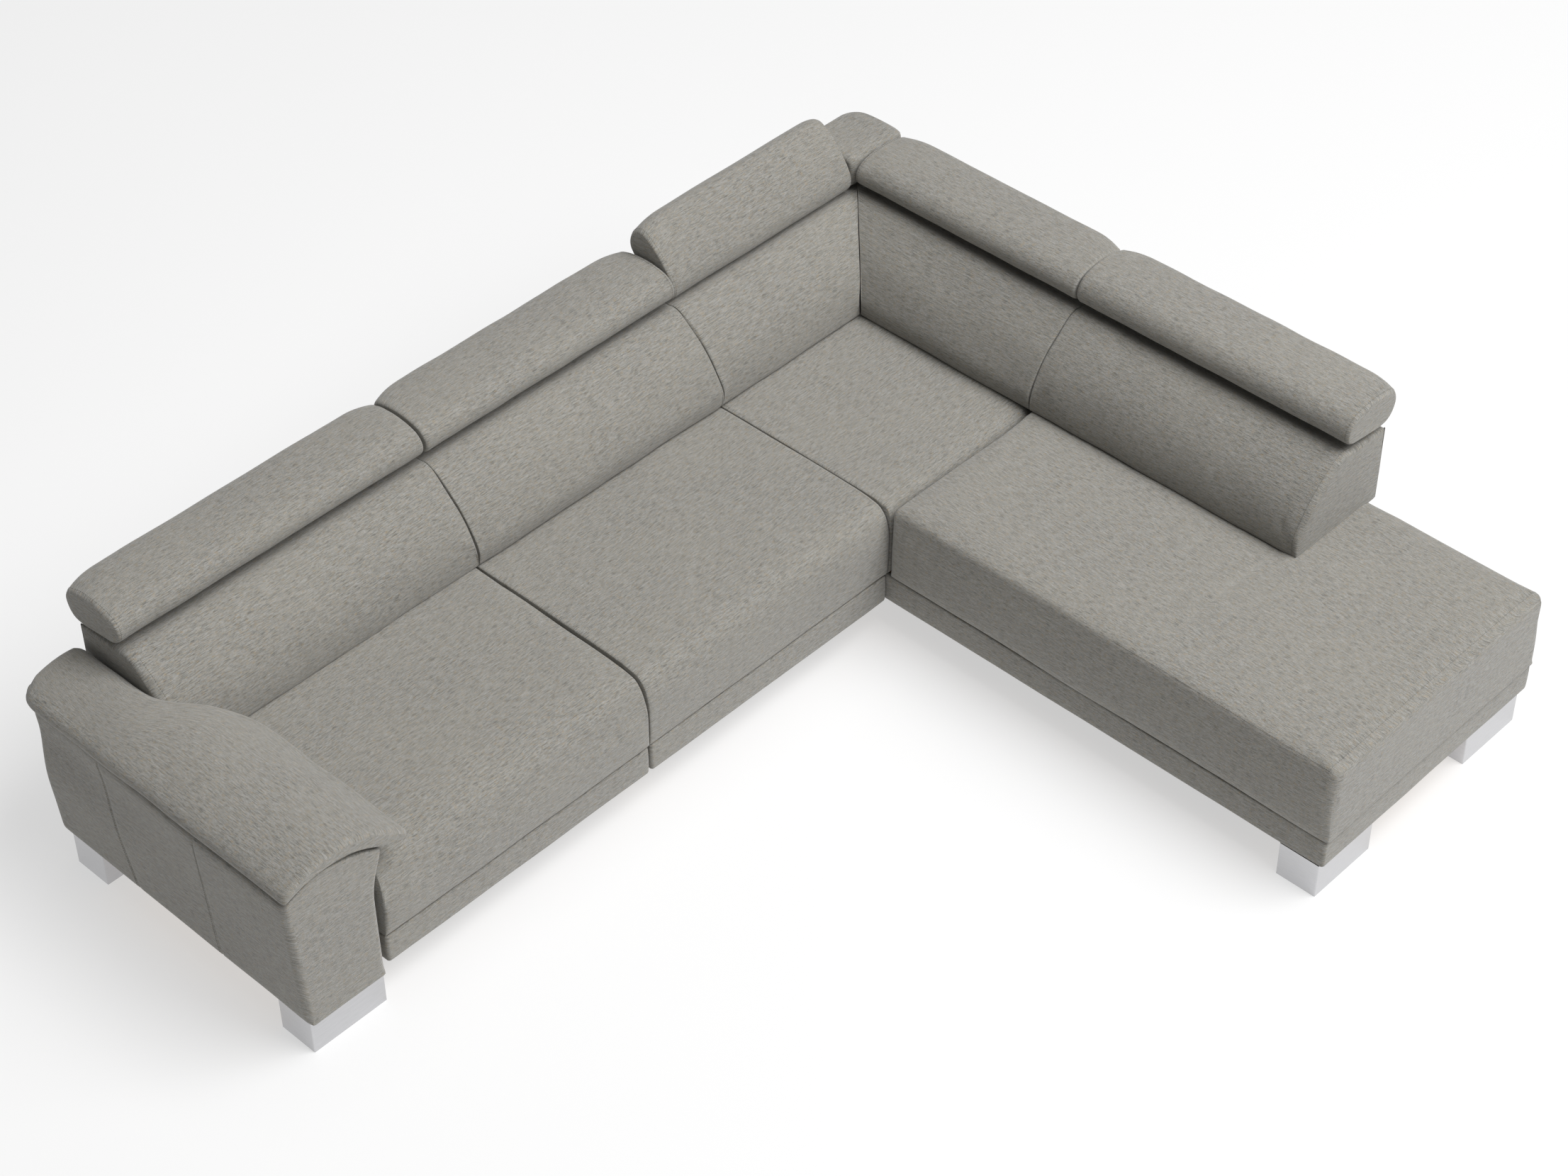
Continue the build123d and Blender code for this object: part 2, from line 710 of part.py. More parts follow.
backs = {
    "left": Back(
        long_wing, (left_start, left_end), (left_start, left_end),
        (left_pad_start, split_pad - half_gap),
    ),
    "middle": Back(
        long_wing, (middle_start, middle_cushion_east), (middle_start, -module_joint),
        (split_pad + half_gap, corner_pad - half_gap),
    ),
    "corner_left": Back(
        long_wing, (corner_seat_west, right_mitre_end), (corner_seat_west, right_frame_front - board_gap),
        (corner_pad + half_gap, corner_left_pad_end), raised_angle,
    ),
    "corner_right": Back(
        right_wing, (-long_mitre_end, cushion_overhang),
        (-(long_seat_depth + frame_front) + board_gap, cushion_overhang),
        (-corner_right_pad_end, chaise_pad - half_gap),
    ),
    "chaise": Back(
        right_wing, (chaise_start, cheek_start - soft_gap), (chaise_start, cheek_start - soft_gap),
        (chaise_pad + half_gap, chaise_back_length + pad_chaise_overlap),
    ),
}

# Back cushions; the two corner ones meet on a mitre
mitre_line = Plane(
    origin=(inner_x + right_seat_depth, inner_y + long_seat_depth, 0),
    x_dir=(1, 1, 0),
    z_dir=(1, -1, 0),
)
for name, back in backs.items():
    with BuildPart() as back_cushion:
        first, last = end_stations(*back.cushion, back_end_run, back_end_run)
        if name == "corner_left":
            last = [(back.cushion[1], 0.0)]
        if name == "corner_right":
            first = [(back.cushion[0], 0.0)]
        sections = []
        for place, share in first + last:
            plane = section_plane(back.wing, place)
            sections.append(back_section(plane, back_end_draw * share, back_cushion_depth - soft_gap))
        loft(sections, ruled=True)
        if name == "corner_left":
            split(bisect_by=mitre_line.offset(-soft_gap), keep=Keep.BOTTOM)
        if name == "corner_right":
            split(bisect_by=mitre_line.offset(soft_gap), keep=Keep.TOP)
    save(back_cushion, f"back_cushion_{name}")

# Padded ends of the back: over the arm, and at the open end of the chaise
with BuildPart() as back_end_arm:
    first, _ = end_stations(left_start - cheek_left_width, left_start, back_end_run, back_end_run)
    sections = []
    for place, share in first + [(left_start - soft_gap, 0.0)]:
        sections.append(back_section(section_plane(long_wing, place), back_end_draw * share, back_rear))
    loft(sections, ruled=True)
save(back_end_arm, "back_end_arm")
with BuildPart() as back_end_chaise:
    _, last = end_stations(cheek_start, chaise_back_length, back_end_run, back_end_run)
    sections = []
    for place, share in [(cheek_start, 0.0)] + last:
        sections.append(back_section(section_plane(right_wing, place), back_end_draw * share, back_rear))
    loft(sections, ruled=True)
save(back_end_chaise, "back_end_chaise")

# Back frames of butted boards, with the slots of the headrest brackets
for name, back in backs.items():
    start, end = back.frame
    with BuildPart() as back_frame:
        plane = section_plane(back.wing, start)
        low_board = base_top + back_frame_board
        high_board = frame_top - back_frame_board
        slab(plane, frame_front, frame_rear, base_top, low_board, end - start)
        slab(plane, frame_front, frame_rear, high_board, frame_top, end - start)
        for place in (start, end - back_frame_board):
            upright = section_plane(back.wing, place)
            inside = (low_board + board_gap, high_board - board_gap)
            slab(upright, frame_front, frame_rear, *inside, back_frame_board)
        for place in back.fittings():
            slot = section_plane(back.wing, place)
            slab(slot, leg_near, leg_far, leg_low, frame_top, fitting_plate, Mode.SUBTRACT)
    save(back_frame, f"back_frame_{name}")

# Elastic webbing across the front of each back frame
for wing_name, wing in (("long", long_wing), ("right", right_wing)):
    with BuildPart() as webbing:
        for back in [one for one in backs.values() if one.wing is wing]:
            start, end = back.frame
            window = frame_top - base_top - 2 * back_frame_board
            pitch = window / webbing_rows
            for row in range(webbing_rows):
                low = base_top + back_frame_board + pitch * (row + 0.5) - webbing_width / 2
                plane = section_plane(wing, start + webbing_inset)
                length = end - start - 2 * webbing_inset
                slab(plane, webbing_line, frame_front, low, low + webbing_width, length)
    save(webbing, f"back_webbing_{wing_name}")

# Headrests
for name, back in backs.items():
    with BuildPart() as headrest:
        first, last = end_stations(*back.pad, pad_end_run, pad_end_run)
        sections = []
        for place, share in first + last:
            plane = section_plane(back.wing, place, hinge_depth, hinge_height, back.turn)
            sections.append(pad_section(plane, pad_end_draw * share))
        loft(sections, ruled=True)
        for place in back.fittings():
            cut_fitting_room(back.wing, place, back.turn)
    save(headrest, f"headrest_{name}")
    with BuildPart() as swing_arms:
        for place in back.fittings():
            swing = section_plane(back.wing, place + swing_start, hinge_depth, hinge_height, back.turn)
            bar = bar_sketch(swing, swing_arm_reach, fitting_bar, fitting_pin_radius + pin_gap)
            extrude(bar, amount=fitting_plate)
    save(swing_arms, f"headrest_arms_{name}")

with BuildPart() as headrest_brackets:
    for back in backs.values():
        for place in back.fittings():
            hinge = section_plane(back.wing, place, hinge_depth, hinge_height)
            to_elbow = (elbow_from_hinge.X, elbow_from_hinge.Y)
            extrude(bar_sketch(hinge, to_elbow, fitting_bar, fitting_pin_radius), amount=fitting_plate)
            slab(section_plane(back.wing, place), leg_near, leg_far, leg_low, elbow[1], fitting_plate)
save(headrest_brackets, "headrest_brackets")

with BuildPart() as headrest_pins:
    for back in backs.values():
        for place in back.fittings():
            start = section_plane(back.wing, place + rivet_start, hinge_depth, hinge_height)
            middle = section_plane(back.wing, place, hinge_depth, hinge_height)
            end = section_plane(back.wing, place + rivet_end, hinge_depth, hinge_height)
            rod(start.origin, start.z_dir, rivet_head_radius, rivet_head)
            rod(middle.origin, middle.z_dir, fitting_pin_radius, rivet_end)
            rod(end.origin, end.z_dir, rivet_head_radius, rivet_head)
save(headrest_pins, "headrest_pins")

# Rear covers, corner post and corner block
rear_low = foot_height + rear_cover_lift
with BuildPart() as rear_cover_long:
    rear = inner_y + long_seat_depth + back_rear
    east = inner_x + right_seat_depth + back_rear
    block(left_west, east, long_rear, rear, rear_low, frame_top)
save(rear_cover_long, "rear_cover_long")
with BuildPart() as rear_cover_right:
    east = inner_x + right_seat_depth + back_rear
    block(chaise_east, east, inner_y - cheek_start + soft_gap, long_rear - board_gap, rear_low, frame_top)
save(rear_cover_right, "rear_cover_right")

post_west = inner_x + right_seat_depth + frame_front
post_front = inner_y + long_seat_depth + frame_front
post_top = seat_top + corner_post_rise
with BuildPart() as corner_post:
    block(post_west, chaise_east, post_front, long_rear, base_top, post_top)
save(corner_post, "corner_post")
with BuildPart() as corner_block:
    west = inner_x + corner_left_pad_end + corner_block_side
    front = inner_y + corner_right_pad_end + corner_block_side
    east = inner_x + right_seat_depth + back_rear + corner_block_reach
    rear = inner_y + long_seat_depth + back_rear + corner_block_reach
    block(west, east, front, rear, seat_top + corner_block_low, seat_top + corner_block_high)
    outwards = Axis((0, 0, 0), (1, 1, 0))
    fillet(corner_block.edges().filter_by(Axis.Z).sort_by(outwards)[-1], corner_block_round)
    fillet(corner_block.faces().sort_by(Axis.Z)[-1].edges(), corner_block_edge)
    block(post_west, chaise_east, post_front, long_rear, base_top, post_top, Mode.SUBTRACT)
save(corner_block, "corner_block")

# Arm: a wooden core, an upholstered body with a leaning outer side, a pad on top

shoulder = (arm_side, seat_top + arm_shoulder_rise)
crown = (arm_inner - arm_crown_inset, seat_top + arm_crown_rise)
lip = (arm_inner + arm_flare, seat_top + arm_lip_high)
pad_narrow = inner_x + left_start - cheek_left_width - back_end_room
pad_wide = arm_inner + arm_pad_reach
pad_front = arm_front - arm_pad_front_reach
pad_rear_edge = arm_rear + arm_pad_rear_reach


def cut_back_end_room():
    """Cut room for the padded end of the back out of the arm."""
    rear = back_rear + arm_pad_rear_reach + arm_edge
    with BuildSketch(section_plane(long_wing, pad_narrow - inner_x, height=seat_top)) as room:
        with BuildLine():
            Polyline((rear, -back_end_room), *back_end_outline, (rear, back_end_outline[-1][1]), close=True)
        make_face()
    extrude(room.sketch, amount=pad_wide - pad_narrow + arm_gap, mode=Mode.SUBTRACT)


core_west = arm_outer + arm_wall
core_east = core_west + arm_core_width
beam_east = arm_inner - arm_wall
core_front = arm_front + arm_wall
core_rear = arm_rear - arm_wall
beam_top = foot_height + arm_beam_height
core_top = seat_top + arm_core_rise
with BuildPart() as arm_frame:
    block(core_west, beam_east, core_front, core_rear, foot_height, beam_top)
    uprights = (beam_top + board_gap, core_top)
    block(core_west, core_east, core_front, core_front + arm_board, *uprights)
    block(core_west, core_east, core_rear - arm_board, core_rear, *uprights)
    between = (core_front + arm_board + board_gap, core_rear - arm_board - board_gap)
    block(core_west, core_east, *between, core_top - arm_board, core_top)
    arm_bolt_holes()
    for name in ("foot_arm_front", "foot_arm_rear"):
        foot_bolt_holes(feet[name])
save(arm_frame, "arm_frame")

arm_plane = Plane(origin=(0, arm_rear, 0), x_dir=(1, 0, 0), z_dir=(0, -1, 0))
with BuildPart() as arm_body:
    with BuildSketch(arm_plane):
        with BuildLine():
            side_height = (foot_height + shoulder[1]) / 2
            flare_start = (arm_inner, seat_top + arm_flare_start)
            flare_middle = (arm_inner + arm_flare_middle, seat_top + arm_lip_low / 4)
            flare_end = (arm_inner + arm_flare, seat_top + arm_lip_low)
            ThreePointArc((arm_outer, foot_height), (arm_outer - arm_lean_middle, side_height), shoulder)
            ThreePointArc(shoulder, crown, lip)
            Line(lip, flare_end)
            ThreePointArc(flare_end, flare_middle, flare_start)
            Line(flare_start, (arm_inner, foot_height))
            Line((arm_inner, foot_height), (arm_outer, foot_height))
        make_face()
    extrude(amount=arm_rear - arm_front)
    block(core_west, core_east, core_front, core_rear, foot_height, core_top, Mode.SUBTRACT)
    block(core_west, beam_east, core_front, core_rear, foot_height, beam_top, Mode.SUBTRACT)
    cut_back_end_room()
    arm_bolt_holes()
    # The padded panels of the body meet on thin seams
    wide = (arm_side - arm_wall, pad_wide)
    deep = (core_front, core_rear)
    seam = board_gap / 2
    for row in deep:
        block(*wide, row - seam, row + seam, foot_height, seat_top + arm_pad_crown_rise, Mode.SUBTRACT)
    block(*wide, *deep, core_top - seam, core_top + seam, Mode.SUBTRACT)
    block(core_east, wide[1], *deep, beam_top - seam, beam_top + seam, Mode.SUBTRACT)
save(arm_body, "arm_body")

with BuildPart() as arm_pad:
    pad_plane = Plane(origin=(0, pad_rear_edge + arm_edge, 0), x_dir=(1, 0, 0), z_dir=(0, -1, 0))
    with BuildSketch(pad_plane):
        with BuildLine():
            tip_under = (pad_wide - arm_pad_tip, seat_top + arm_pad_droop)
            tip = (pad_wide, seat_top + (arm_pad_droop + arm_pad_tip_rise) / 2)
            tip_top = (pad_wide - arm_pad_tip / 4, seat_top + arm_pad_tip_rise)
            pad_crown_point = (crown[0], seat_top + arm_pad_crown_rise)
            outer_top = (arm_side + arm_edge, seat_top + arm_pad_shoulder_rise)
            outer = (arm_side + arm_edge / 5, seat_top + (arm_shoulder_rise + arm_pad_shoulder_rise) / 2)
            ThreePointArc(shoulder, crown, lip)
            Line(lip, tip_under)
            ThreePointArc(tip_under, tip, tip_top)
            ThreePointArc(tip_top, pad_crown_point, outer_top)
            ThreePointArc(outer_top, outer, shoulder)
        make_face()
    extrude(amount=pad_rear_edge - pad_front + 2 * arm_edge)
    with BuildSketch(Plane.XY.offset(seat_top)) as outline:
        with BuildLine():
            outside = arm_side - arm_edge
            inside = pad_wide + arm_edge
            turn_front = (inside, inner_y + arm_pad_turn_front)
            turn_rear = (pad_narrow + arm_pad_tuck, inner_y + arm_pad_turn_rear)
            turn_middle = ((inside + turn_rear[0]) / 2, (turn_front[1] + turn_rear[1]) / 2)
            Polyline(turn_rear, (turn_rear[0], pad_rear_edge), (outside, pad_rear_edge))
            Polyline((outside, pad_rear_edge), (outside, pad_front), (inside, pad_front), turn_front)
            TangentArc(turn_front, turn_middle, tangent=(0, 1))
            TangentArc(turn_rear, turn_middle, tangent=(0, -1))
        make_face()
        ends = outline.vertices().group_by(Axis.Y)
        fillet(ends[0] + ends[-1], arm_pad_corner)
    extrude(amount=arm_pad_crown_rise * 2, mode=Mode.INTERSECT)
    cut_back_end_room()
save(arm_pad, "arm_pad")

with BuildPart() as arm_spacers:
    half = arm_spacer_size / 2
    for row in arm_bolt_rows:
        block(arm_inner, left_west, row - half, row + half, arm_bolt_height - half, arm_bolt_height + half)
    arm_bolt_holes()
save(arm_spacers, "arm_spacers")

with BuildPart() as arm_bolts:
    for row in arm_bolt_rows:
        seat = (arm_bolt_head_seat, row, arm_bolt_height)
        rod(seat, (1, 0, 0), arm_bolt_head_radius, arm_bolt_head)
        rod(seat, (-1, 0, 0), arm_bolt_radius, arm_bolt_length)
save(arm_bolts, "arm_bolts")
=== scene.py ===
# %% [markdown]
# # A corner sofa in woven fabric
# The imported solids give every piece its place: frames, springs, fittings and feet are shown as they
# are, and each padded solid is replaced by an upholstered form. We load the frame first. Fabric may
# only stand a little proud of it.

# %% Load the frame
import json
import math

import bmesh
import bpy
import numpy as np
from mathutils import Matrix, Vector
from mathutils.bvhtree import BVHTree


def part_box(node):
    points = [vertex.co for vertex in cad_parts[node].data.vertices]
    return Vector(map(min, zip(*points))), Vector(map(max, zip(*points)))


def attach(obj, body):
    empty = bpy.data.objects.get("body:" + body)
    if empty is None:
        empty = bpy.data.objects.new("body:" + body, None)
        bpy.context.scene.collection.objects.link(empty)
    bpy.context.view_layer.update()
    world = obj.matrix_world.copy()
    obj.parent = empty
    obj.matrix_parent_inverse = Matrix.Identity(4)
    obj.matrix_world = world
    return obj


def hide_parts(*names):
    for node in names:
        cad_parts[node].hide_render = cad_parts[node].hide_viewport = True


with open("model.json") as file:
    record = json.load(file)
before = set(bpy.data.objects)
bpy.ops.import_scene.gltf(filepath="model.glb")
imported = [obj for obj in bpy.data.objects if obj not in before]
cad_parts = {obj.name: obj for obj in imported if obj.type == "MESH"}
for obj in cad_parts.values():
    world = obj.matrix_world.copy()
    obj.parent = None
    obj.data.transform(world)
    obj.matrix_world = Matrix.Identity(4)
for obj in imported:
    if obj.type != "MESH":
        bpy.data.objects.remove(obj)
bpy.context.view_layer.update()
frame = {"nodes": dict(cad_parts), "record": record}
nodes = frame["nodes"]

# %% [markdown]
# Both wings are drawn in the same way: how far along the wing, how far into the seat, how high up.
# A third direction does the same for the arm, from its inner side outwards. The inner corner of the
# two bases is the shared start, read from the frame, so the looks follow the solids.

# %% Directions of the wings
WINGS = {
    "long": ((1, 0, 0), (0, 1, 0)),
    "right": ((0, -1, 0), (1, 0, 0)),
    "arm": ((0, 1, 0), (-1, 0, 0)),
}
inner_corner = np.array([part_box("base_cover_chaise")[0].x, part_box("base_cover_middle")[0].y, 0.0])


def directions(wing):
    return np.array([*WINGS[wing], (0, 0, 1)], float)


def in_room(wing, points):
    """Points given as along, into and up, in the row frame."""
    return inner_corner + np.asarray(points, float) @ directions(wing)


def span(wing, node):
    """The lower and the upper end of a solid, each as along, into and up."""
    corners = np.array([list(corner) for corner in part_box(node)]) - inner_corner
    return np.sort(corners @ directions(wing).T, axis=0)


def between(first, second, axis):
    """The middle of the gap between two solids along x or y."""
    return (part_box(first)[1][axis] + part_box(second)[0][axis]) / 2 - inner_corner[axis]


print("inner corner at", inner_corner.round(4))

# %% [markdown]
# A few measures are shared by seats, backs and arm. The seat line is where a back stands on its seat.
# Covers reach a little below their seat solids, down to the base bands, and almost meet side by side.

# %% Shared measures
SEAT_LINE = {"long": 0.620, "right": 0.566}
SEAT_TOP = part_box("seat_cushion_left")[1].z
SEAT_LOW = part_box("seat_cushion_left")[0].z - 0.0016
BACK_DEPTH = 0.307
BACK_REAR = 0.351
FOOT_HEIGHT = 0.110
JOIN = 0.0008
PITCH = 0.017
print("seat top", round(SEAT_TOP, 4), "covers", JOIN * 2, "apart, rings", PITCH, "apart")

# %% [markdown]
# Shader maths reads best as plain expressions. `Ink` wraps one output of a node, and its operators
# add Math nodes, so `1 - mask * 0.4` is a small tree. `Recipe` holds one material; its `node` method
# adds any other node from its type, its settings and what goes into its sockets.

# %% Shader expressions


class Ink:
    """One value of a material, on which arithmetic adds Math nodes."""

    def __init__(self, recipe, socket):
        self.recipe = recipe
        self.socket = socket

    def _sum(self, operation, *values):
        return self.recipe.node("Math", {"operation": operation}, dict(enumerate(values)))

    def __add__(self, other):
        return self._sum("ADD", self, other)

    def __sub__(self, other):
        return self._sum("SUBTRACT", self, other)

    def __mul__(self, other):
        return self._sum("MULTIPLY", self, other)

    def __rsub__(self, other):
        return self._sum("SUBTRACT", other, self)

    def sine(self):
        return self._sum("SINE", self)

    __radd__ = __add__
    __rmul__ = __mul__


class Recipe:
    """One material under construction."""

    def __init__(self, name, **constants):
        self.material = bpy.data.materials.new(name)
        self.material.use_nodes = True
        self.tree = self.material.node_tree
        self.shader = self.tree.nodes["Principled BSDF"]
        for socket, value in constants.items():
            self.shader.inputs[socket.replace("_", " ")].default_value = value

    def put(self, socket, value):
        if isinstance(value, Ink):
            self.tree.links.new(value.socket, socket)
        else:
            socket.default_value = value

    def node(self, kind, settings=None, sockets=None, out=0):
        made = self.tree.nodes.new("ShaderNode" + kind)
        for name, value in (settings or {}).items():
            if name == "stops":
                ramp = made.color_ramp
                while len(ramp.elements) < len(value):
                    ramp.elements.new(0.5)
                for element, (place, colour) in zip(ramp.elements, value):
                    element.position = place
                    element.color = colour
            else:
                setattr(made, name, value)
        for name, value in (sockets or {}).items():
            self.put(made.inputs[name], value)
        return Ink(self, made.outputs[out])

    def mix(self, share, first, second):
        return self.node("Mix", {"data_type": "RGBA"}, {0: share, 6: first, 7: second}, out=2)

    def noise(self, where, scale, detail=2.0, rough=0.5):
        """Noise on coordinates stretched by a scale for each direction."""
        spread = self.node("Mapping", None, {"Vector": where, "Scale": scale})
        return self.node("TexNoise", None, {
            "Vector": spread, "Scale": 1.0, "Detail": detail, "Roughness": rough})

    def ramp(self, value, stops):
        return self.node("ValToRGB", {"stops": stops}, {0: value})

    def band(self, value, low, high):
        """0 below low, 1 above high."""
        return self.node("MapRange", {"clamp": True}, {0: value, 1: low, 2: high})

    def finish(self, colour, rough, height, depth, strength):
        bump = self.node("Bump", None, {"Height": height, "Distance": depth, "Strength": strength})
        for socket, value in (("Base Color", colour), ("Roughness", rough), ("Normal", bump)):
            self.put(self.shader.inputs[socket], value)
        return self.material


def linear(*colour):
    """A colour picked on a screen, in the linear values that shaders use."""
    return tuple(((c / 255 + 0.055) / 1.055) ** 2.4 if c > 10 else c / 255 / 12.92
                 for c in colour) + (1.0,)


def darker(colour, share):
    return tuple(c * share for c in colour[:3]) + (1.0,)


print("shader expressions ready")

# %% [markdown]
# The cover is a structured weave: grey yarn with thick and thin places along the weft, paler lint,
# and stray ochre and dark threads. Long narrow noise gives the slubs, and thresholds on other noises
# pick the stray threads. The pattern reads the UV map of each piece, measured in metres, so the weft
# runs along each panel as it was cut.

# %% The woven cover
WARP_WAVE, WEFT_WAVE = 2600, 2200


def woven_cover():
    cloth = Recipe("structured_weave", Sheen_Weight=0.25, Sheen_Roughness=0.6, Specular_IOR_Level=0.25)
    where = cloth.node("TexCoord", out="UV")
    slub = cloth.noise(where, (120, 420, 1), detail=3.0, rough=0.65)
    streak = cloth.noise(where, (24, 200, 1))
    cross = cloth.noise(where, (560, 480, 1), detail=1.0)
    ochre = cloth.band(cloth.noise(where, (70, 560, 3), detail=1.0), 0.57, 0.63)
    dark = cloth.band(cloth.noise(where, (42, 620, 7), detail=1.5), 0.55, 0.62)
    crack = cloth.band(cloth.noise(where, (480, 140, 5), detail=1.0), 0.58, 0.66)
    lint = cloth.band(cloth.noise(where, (3.0, 4.5, 1)), 0.35, 0.65)
    colour = cloth.ramp(slub * 0.4 + streak * 0.3 + cross * 0.3, (
        (0.34, linear(98, 97, 91)), (0.50, linear(139, 138, 133)), (0.66, linear(162, 161, 158))))
    for share, yarn in ((ochre * 0.45, (150, 126, 84)), (crack * 0.30, (84, 82, 77)),
                        (dark * 0.62, (74, 73, 69)), (lint * 0.14, (150, 146, 135))):
        colour = cloth.mix(share, colour, linear(*yarn))
    along = cloth.node("SeparateXYZ", None, {0: where})
    across = Ink(cloth, along.socket.node.outputs[1])
    threads = (along * WARP_WAVE).sine() * (across * WEFT_WAVE).sine()
    height = slub * 0.6 + streak * 0.3 + threads * 0.12
    return cloth.finish(colour, slub * 0.12 + 0.82, height, depth=0.0010, strength=0.45)


cover = woven_cover()
print("woven cover ready")

# %% [markdown]
# The pieces inside keep their solids and get their own finishes on Object coordinates: sawn wood,
# drawn wire, zinc, polished chrome, felt, webbing and black plastic. Polished metal has no grain
# that can be felt, so only the rougher metals get a bump.

# %% Finishes of the inner pieces


def sawn_wood():
    wood = Recipe("sawn_beech", Specular_IOR_Level=0.3)
    where = wood.node("TexCoord", out="Object")
    rings = wood.noise(where, (9, 9, 60), detail=4.0, rough=0.65)
    pores = wood.noise(where, (60, 60, 700))
    colour = wood.ramp(rings * 0.75 + pores * 0.25, (
        (0.32, linear(150, 112, 72)), (0.52, linear(196, 160, 112)), (0.72, linear(214, 184, 140))))
    return wood.finish(colour, pores * 0.2 + 0.6, pores * 0.6 + rings * 0.4, depth=0.0006, strength=0.4)


def bare_metal(name, colour, rough, grain):
    metal = Recipe(name, Metallic=1.0)
    brushed = metal.noise(metal.node("TexCoord", out="Object"), grain, detail=3.0)
    tone = metal.mix(brushed, darker(colour, 0.86), colour)
    return metal.finish(tone, brushed * rough * 0.5 + rough * 0.75, brushed,
                        depth=0.0001, strength=0.15 if rough > 0.2 else 0.0)


def felt_sheet(name, colour, ribs):
    felt = Recipe(name, Sheen_Weight=0.1, Specular_IOR_Level=0.15)
    where = felt.node("TexCoord", out="Object")
    lint = felt.noise(where, (900, 900, 900))
    lines = felt.noise(where, ribs, detail=1.0)
    tone = felt.mix(lint * 0.6 + lines * 0.4, darker(colour, 0.55), colour)
    return felt.finish(tone, lint * 0.1 + 0.85, lint * 0.5 + lines * 0.5, depth=0.0005, strength=0.5)


def moulded_plastic():
    plastic = Recipe("moulded_black", Specular_IOR_Level=0.4)
    grain = plastic.noise(plastic.node("TexCoord", out="Object"), (700, 700, 700))
    tone = plastic.mix(grain, linear(22, 22, 23), linear(40, 40, 41))
    return plastic.finish(tone, grain * 0.2 + 0.45, grain, depth=0.0003, strength=0.3)


FINISHES = {
    "wood": sawn_wood(),
    "spring_steel": bare_metal("drawn_wire", linear(150, 150, 154), 0.35, (300, 300, 300)),
    "fitting_steel": bare_metal("zinc_plate", linear(176, 180, 186), 0.38, (40, 400, 400)),
    "chrome": bare_metal("polished_chrome", linear(206, 206, 208), 0.10, (30, 30, 500)),
    "dust_cover": felt_sheet("black_felt", linear(46, 46, 48), (200, 200, 200)),
    "webbing": felt_sheet("elastic_webbing", linear(62, 62, 66), (20, 20, 900)),
    "black_plastic": moulded_plastic(),
    "upholstery": cover,
}
slot_of = {row["node"]: row["material_slot"] for row in frame["record"]["subparts"]}
for name, node in nodes.items():
    node.data.materials.clear()
    node.data.materials.append(FINISHES[slot_of[name]])
print("finishes:", sorted(FINISHES))

# %% [markdown]
# A padded piece is a soft box: a ring of four sides at many places along it, closed by a grid at
# both ends. The four sides keep even quads and a UV map in metres, which a voxel remesh would lose.
# The helpers below round a line through a few points, share points out evenly along it, and draw a
# ring in towards its middle, as cloth does at the ends of a cushion.

# %% Lines and rings
LOW, FAR, HIGH, NEAR, END = range(5)
INTO, UP = range(2)
END_RINGS = 8


def rounded(points, steps=10):
    """A smooth line through the given points."""
    p = np.asarray(points, float)
    ends = np.vstack([2 * p[0] - p[1], p, 2 * p[-1] - p[-2]])
    rows = []
    for a, b, c, d in zip(ends, ends[1:], ends[2:], ends[3:]):
        for t in np.linspace(0, 1, steps, endpoint=False):
            rows.append(0.5 * (2 * b + (c - a) * t + (2 * a - 5 * b + 4 * c - d) * t ** 2
                               + (3 * b - a - 3 * c + d) * t ** 3))
    return np.vstack([rows, p[-1:]])


def lengths_along(line):
    """How far each point lies from the first, along the line."""
    return np.concatenate([[0], np.cumsum(np.linalg.norm(np.diff(line, axis=0), axis=1))])


def shared_out(line, count):
    """count equal steps along a line."""
    line = np.asarray(line, float)
    reach = lengths_along(line)
    marks = np.linspace(0, reach[-1], count + 1)
    return np.stack([np.interp(marks, reach, line[:, k]) for k in range(line.shape[1])], axis=1)


def drawn_in(sides, amount, flat=()):
    """Four sides moved inwards. A flat side keeps its own height or depth."""
    ring = np.vstack([side[:-1] for side in sides])
    ahead = np.roll(ring, -1, axis=0) - np.roll(ring, 1, axis=0)
    inward = np.stack([-ahead[:, 1], ahead[:, 0]], axis=1)
    inward /= np.linalg.norm(inward, axis=1)[:, None] + 1e-9
    moved = ring + inward * amount
    starts = np.cumsum([0] + [len(side) - 1 for side in sides])
    made = [np.vstack([moved[first:last], moved[last % len(ring)]])
            for first, last in zip(starts, starts[1:])]
    for k, axis in flat:
        made[k][:, axis] = sides[k][:, axis]
        made[k - 1][-1] = made[k][0]
        made[(k + 1) % 4][0] = made[k][-1]
    return made


def end_places(start, end, runs, pitch=PITCH, extra=()):
    """Places along a cushion, with how much the ring is drawn in there: 1 at an end, 0 inside."""
    first, last = start + runs[0], end - runs[1]
    places = {}
    for t in np.linspace(0, math.pi / 2, END_RINGS):
        places[start + runs[0] * (1 - math.cos(t))] = 1 - math.sin(t)
        places[end - runs[1] * (1 - math.cos(t))] = 1 - math.sin(t)
    inner = np.linspace(first, last, max(2, int((end - start) / pitch)) + 1)
    for place in (*inner, *extra):
        if first <= place <= last:
            places.setdefault(float(place), 0.0)
    return sorted(places.items())


print("line and ring helpers ready")

# %% [markdown]
# Meshes are read and moved as arrays, which is far quicker than point by point. `Soft` keeps, beside
# the object, where each of its points lies on the cushion and on which side, so that later steps can
# hold a side still or pick the line of a seam.

# %% Points of a padded piece


def read_points(mesh, what):
    flat = np.empty(len(mesh.vertices) * 3, np.float32)
    mesh.vertices.foreach_get(what, flat)
    return flat.reshape(-1, 3).astype(float)


def coordinates(mesh):
    return read_points(mesh, "co")


def normals(mesh):
    return read_points(mesh, "normal")


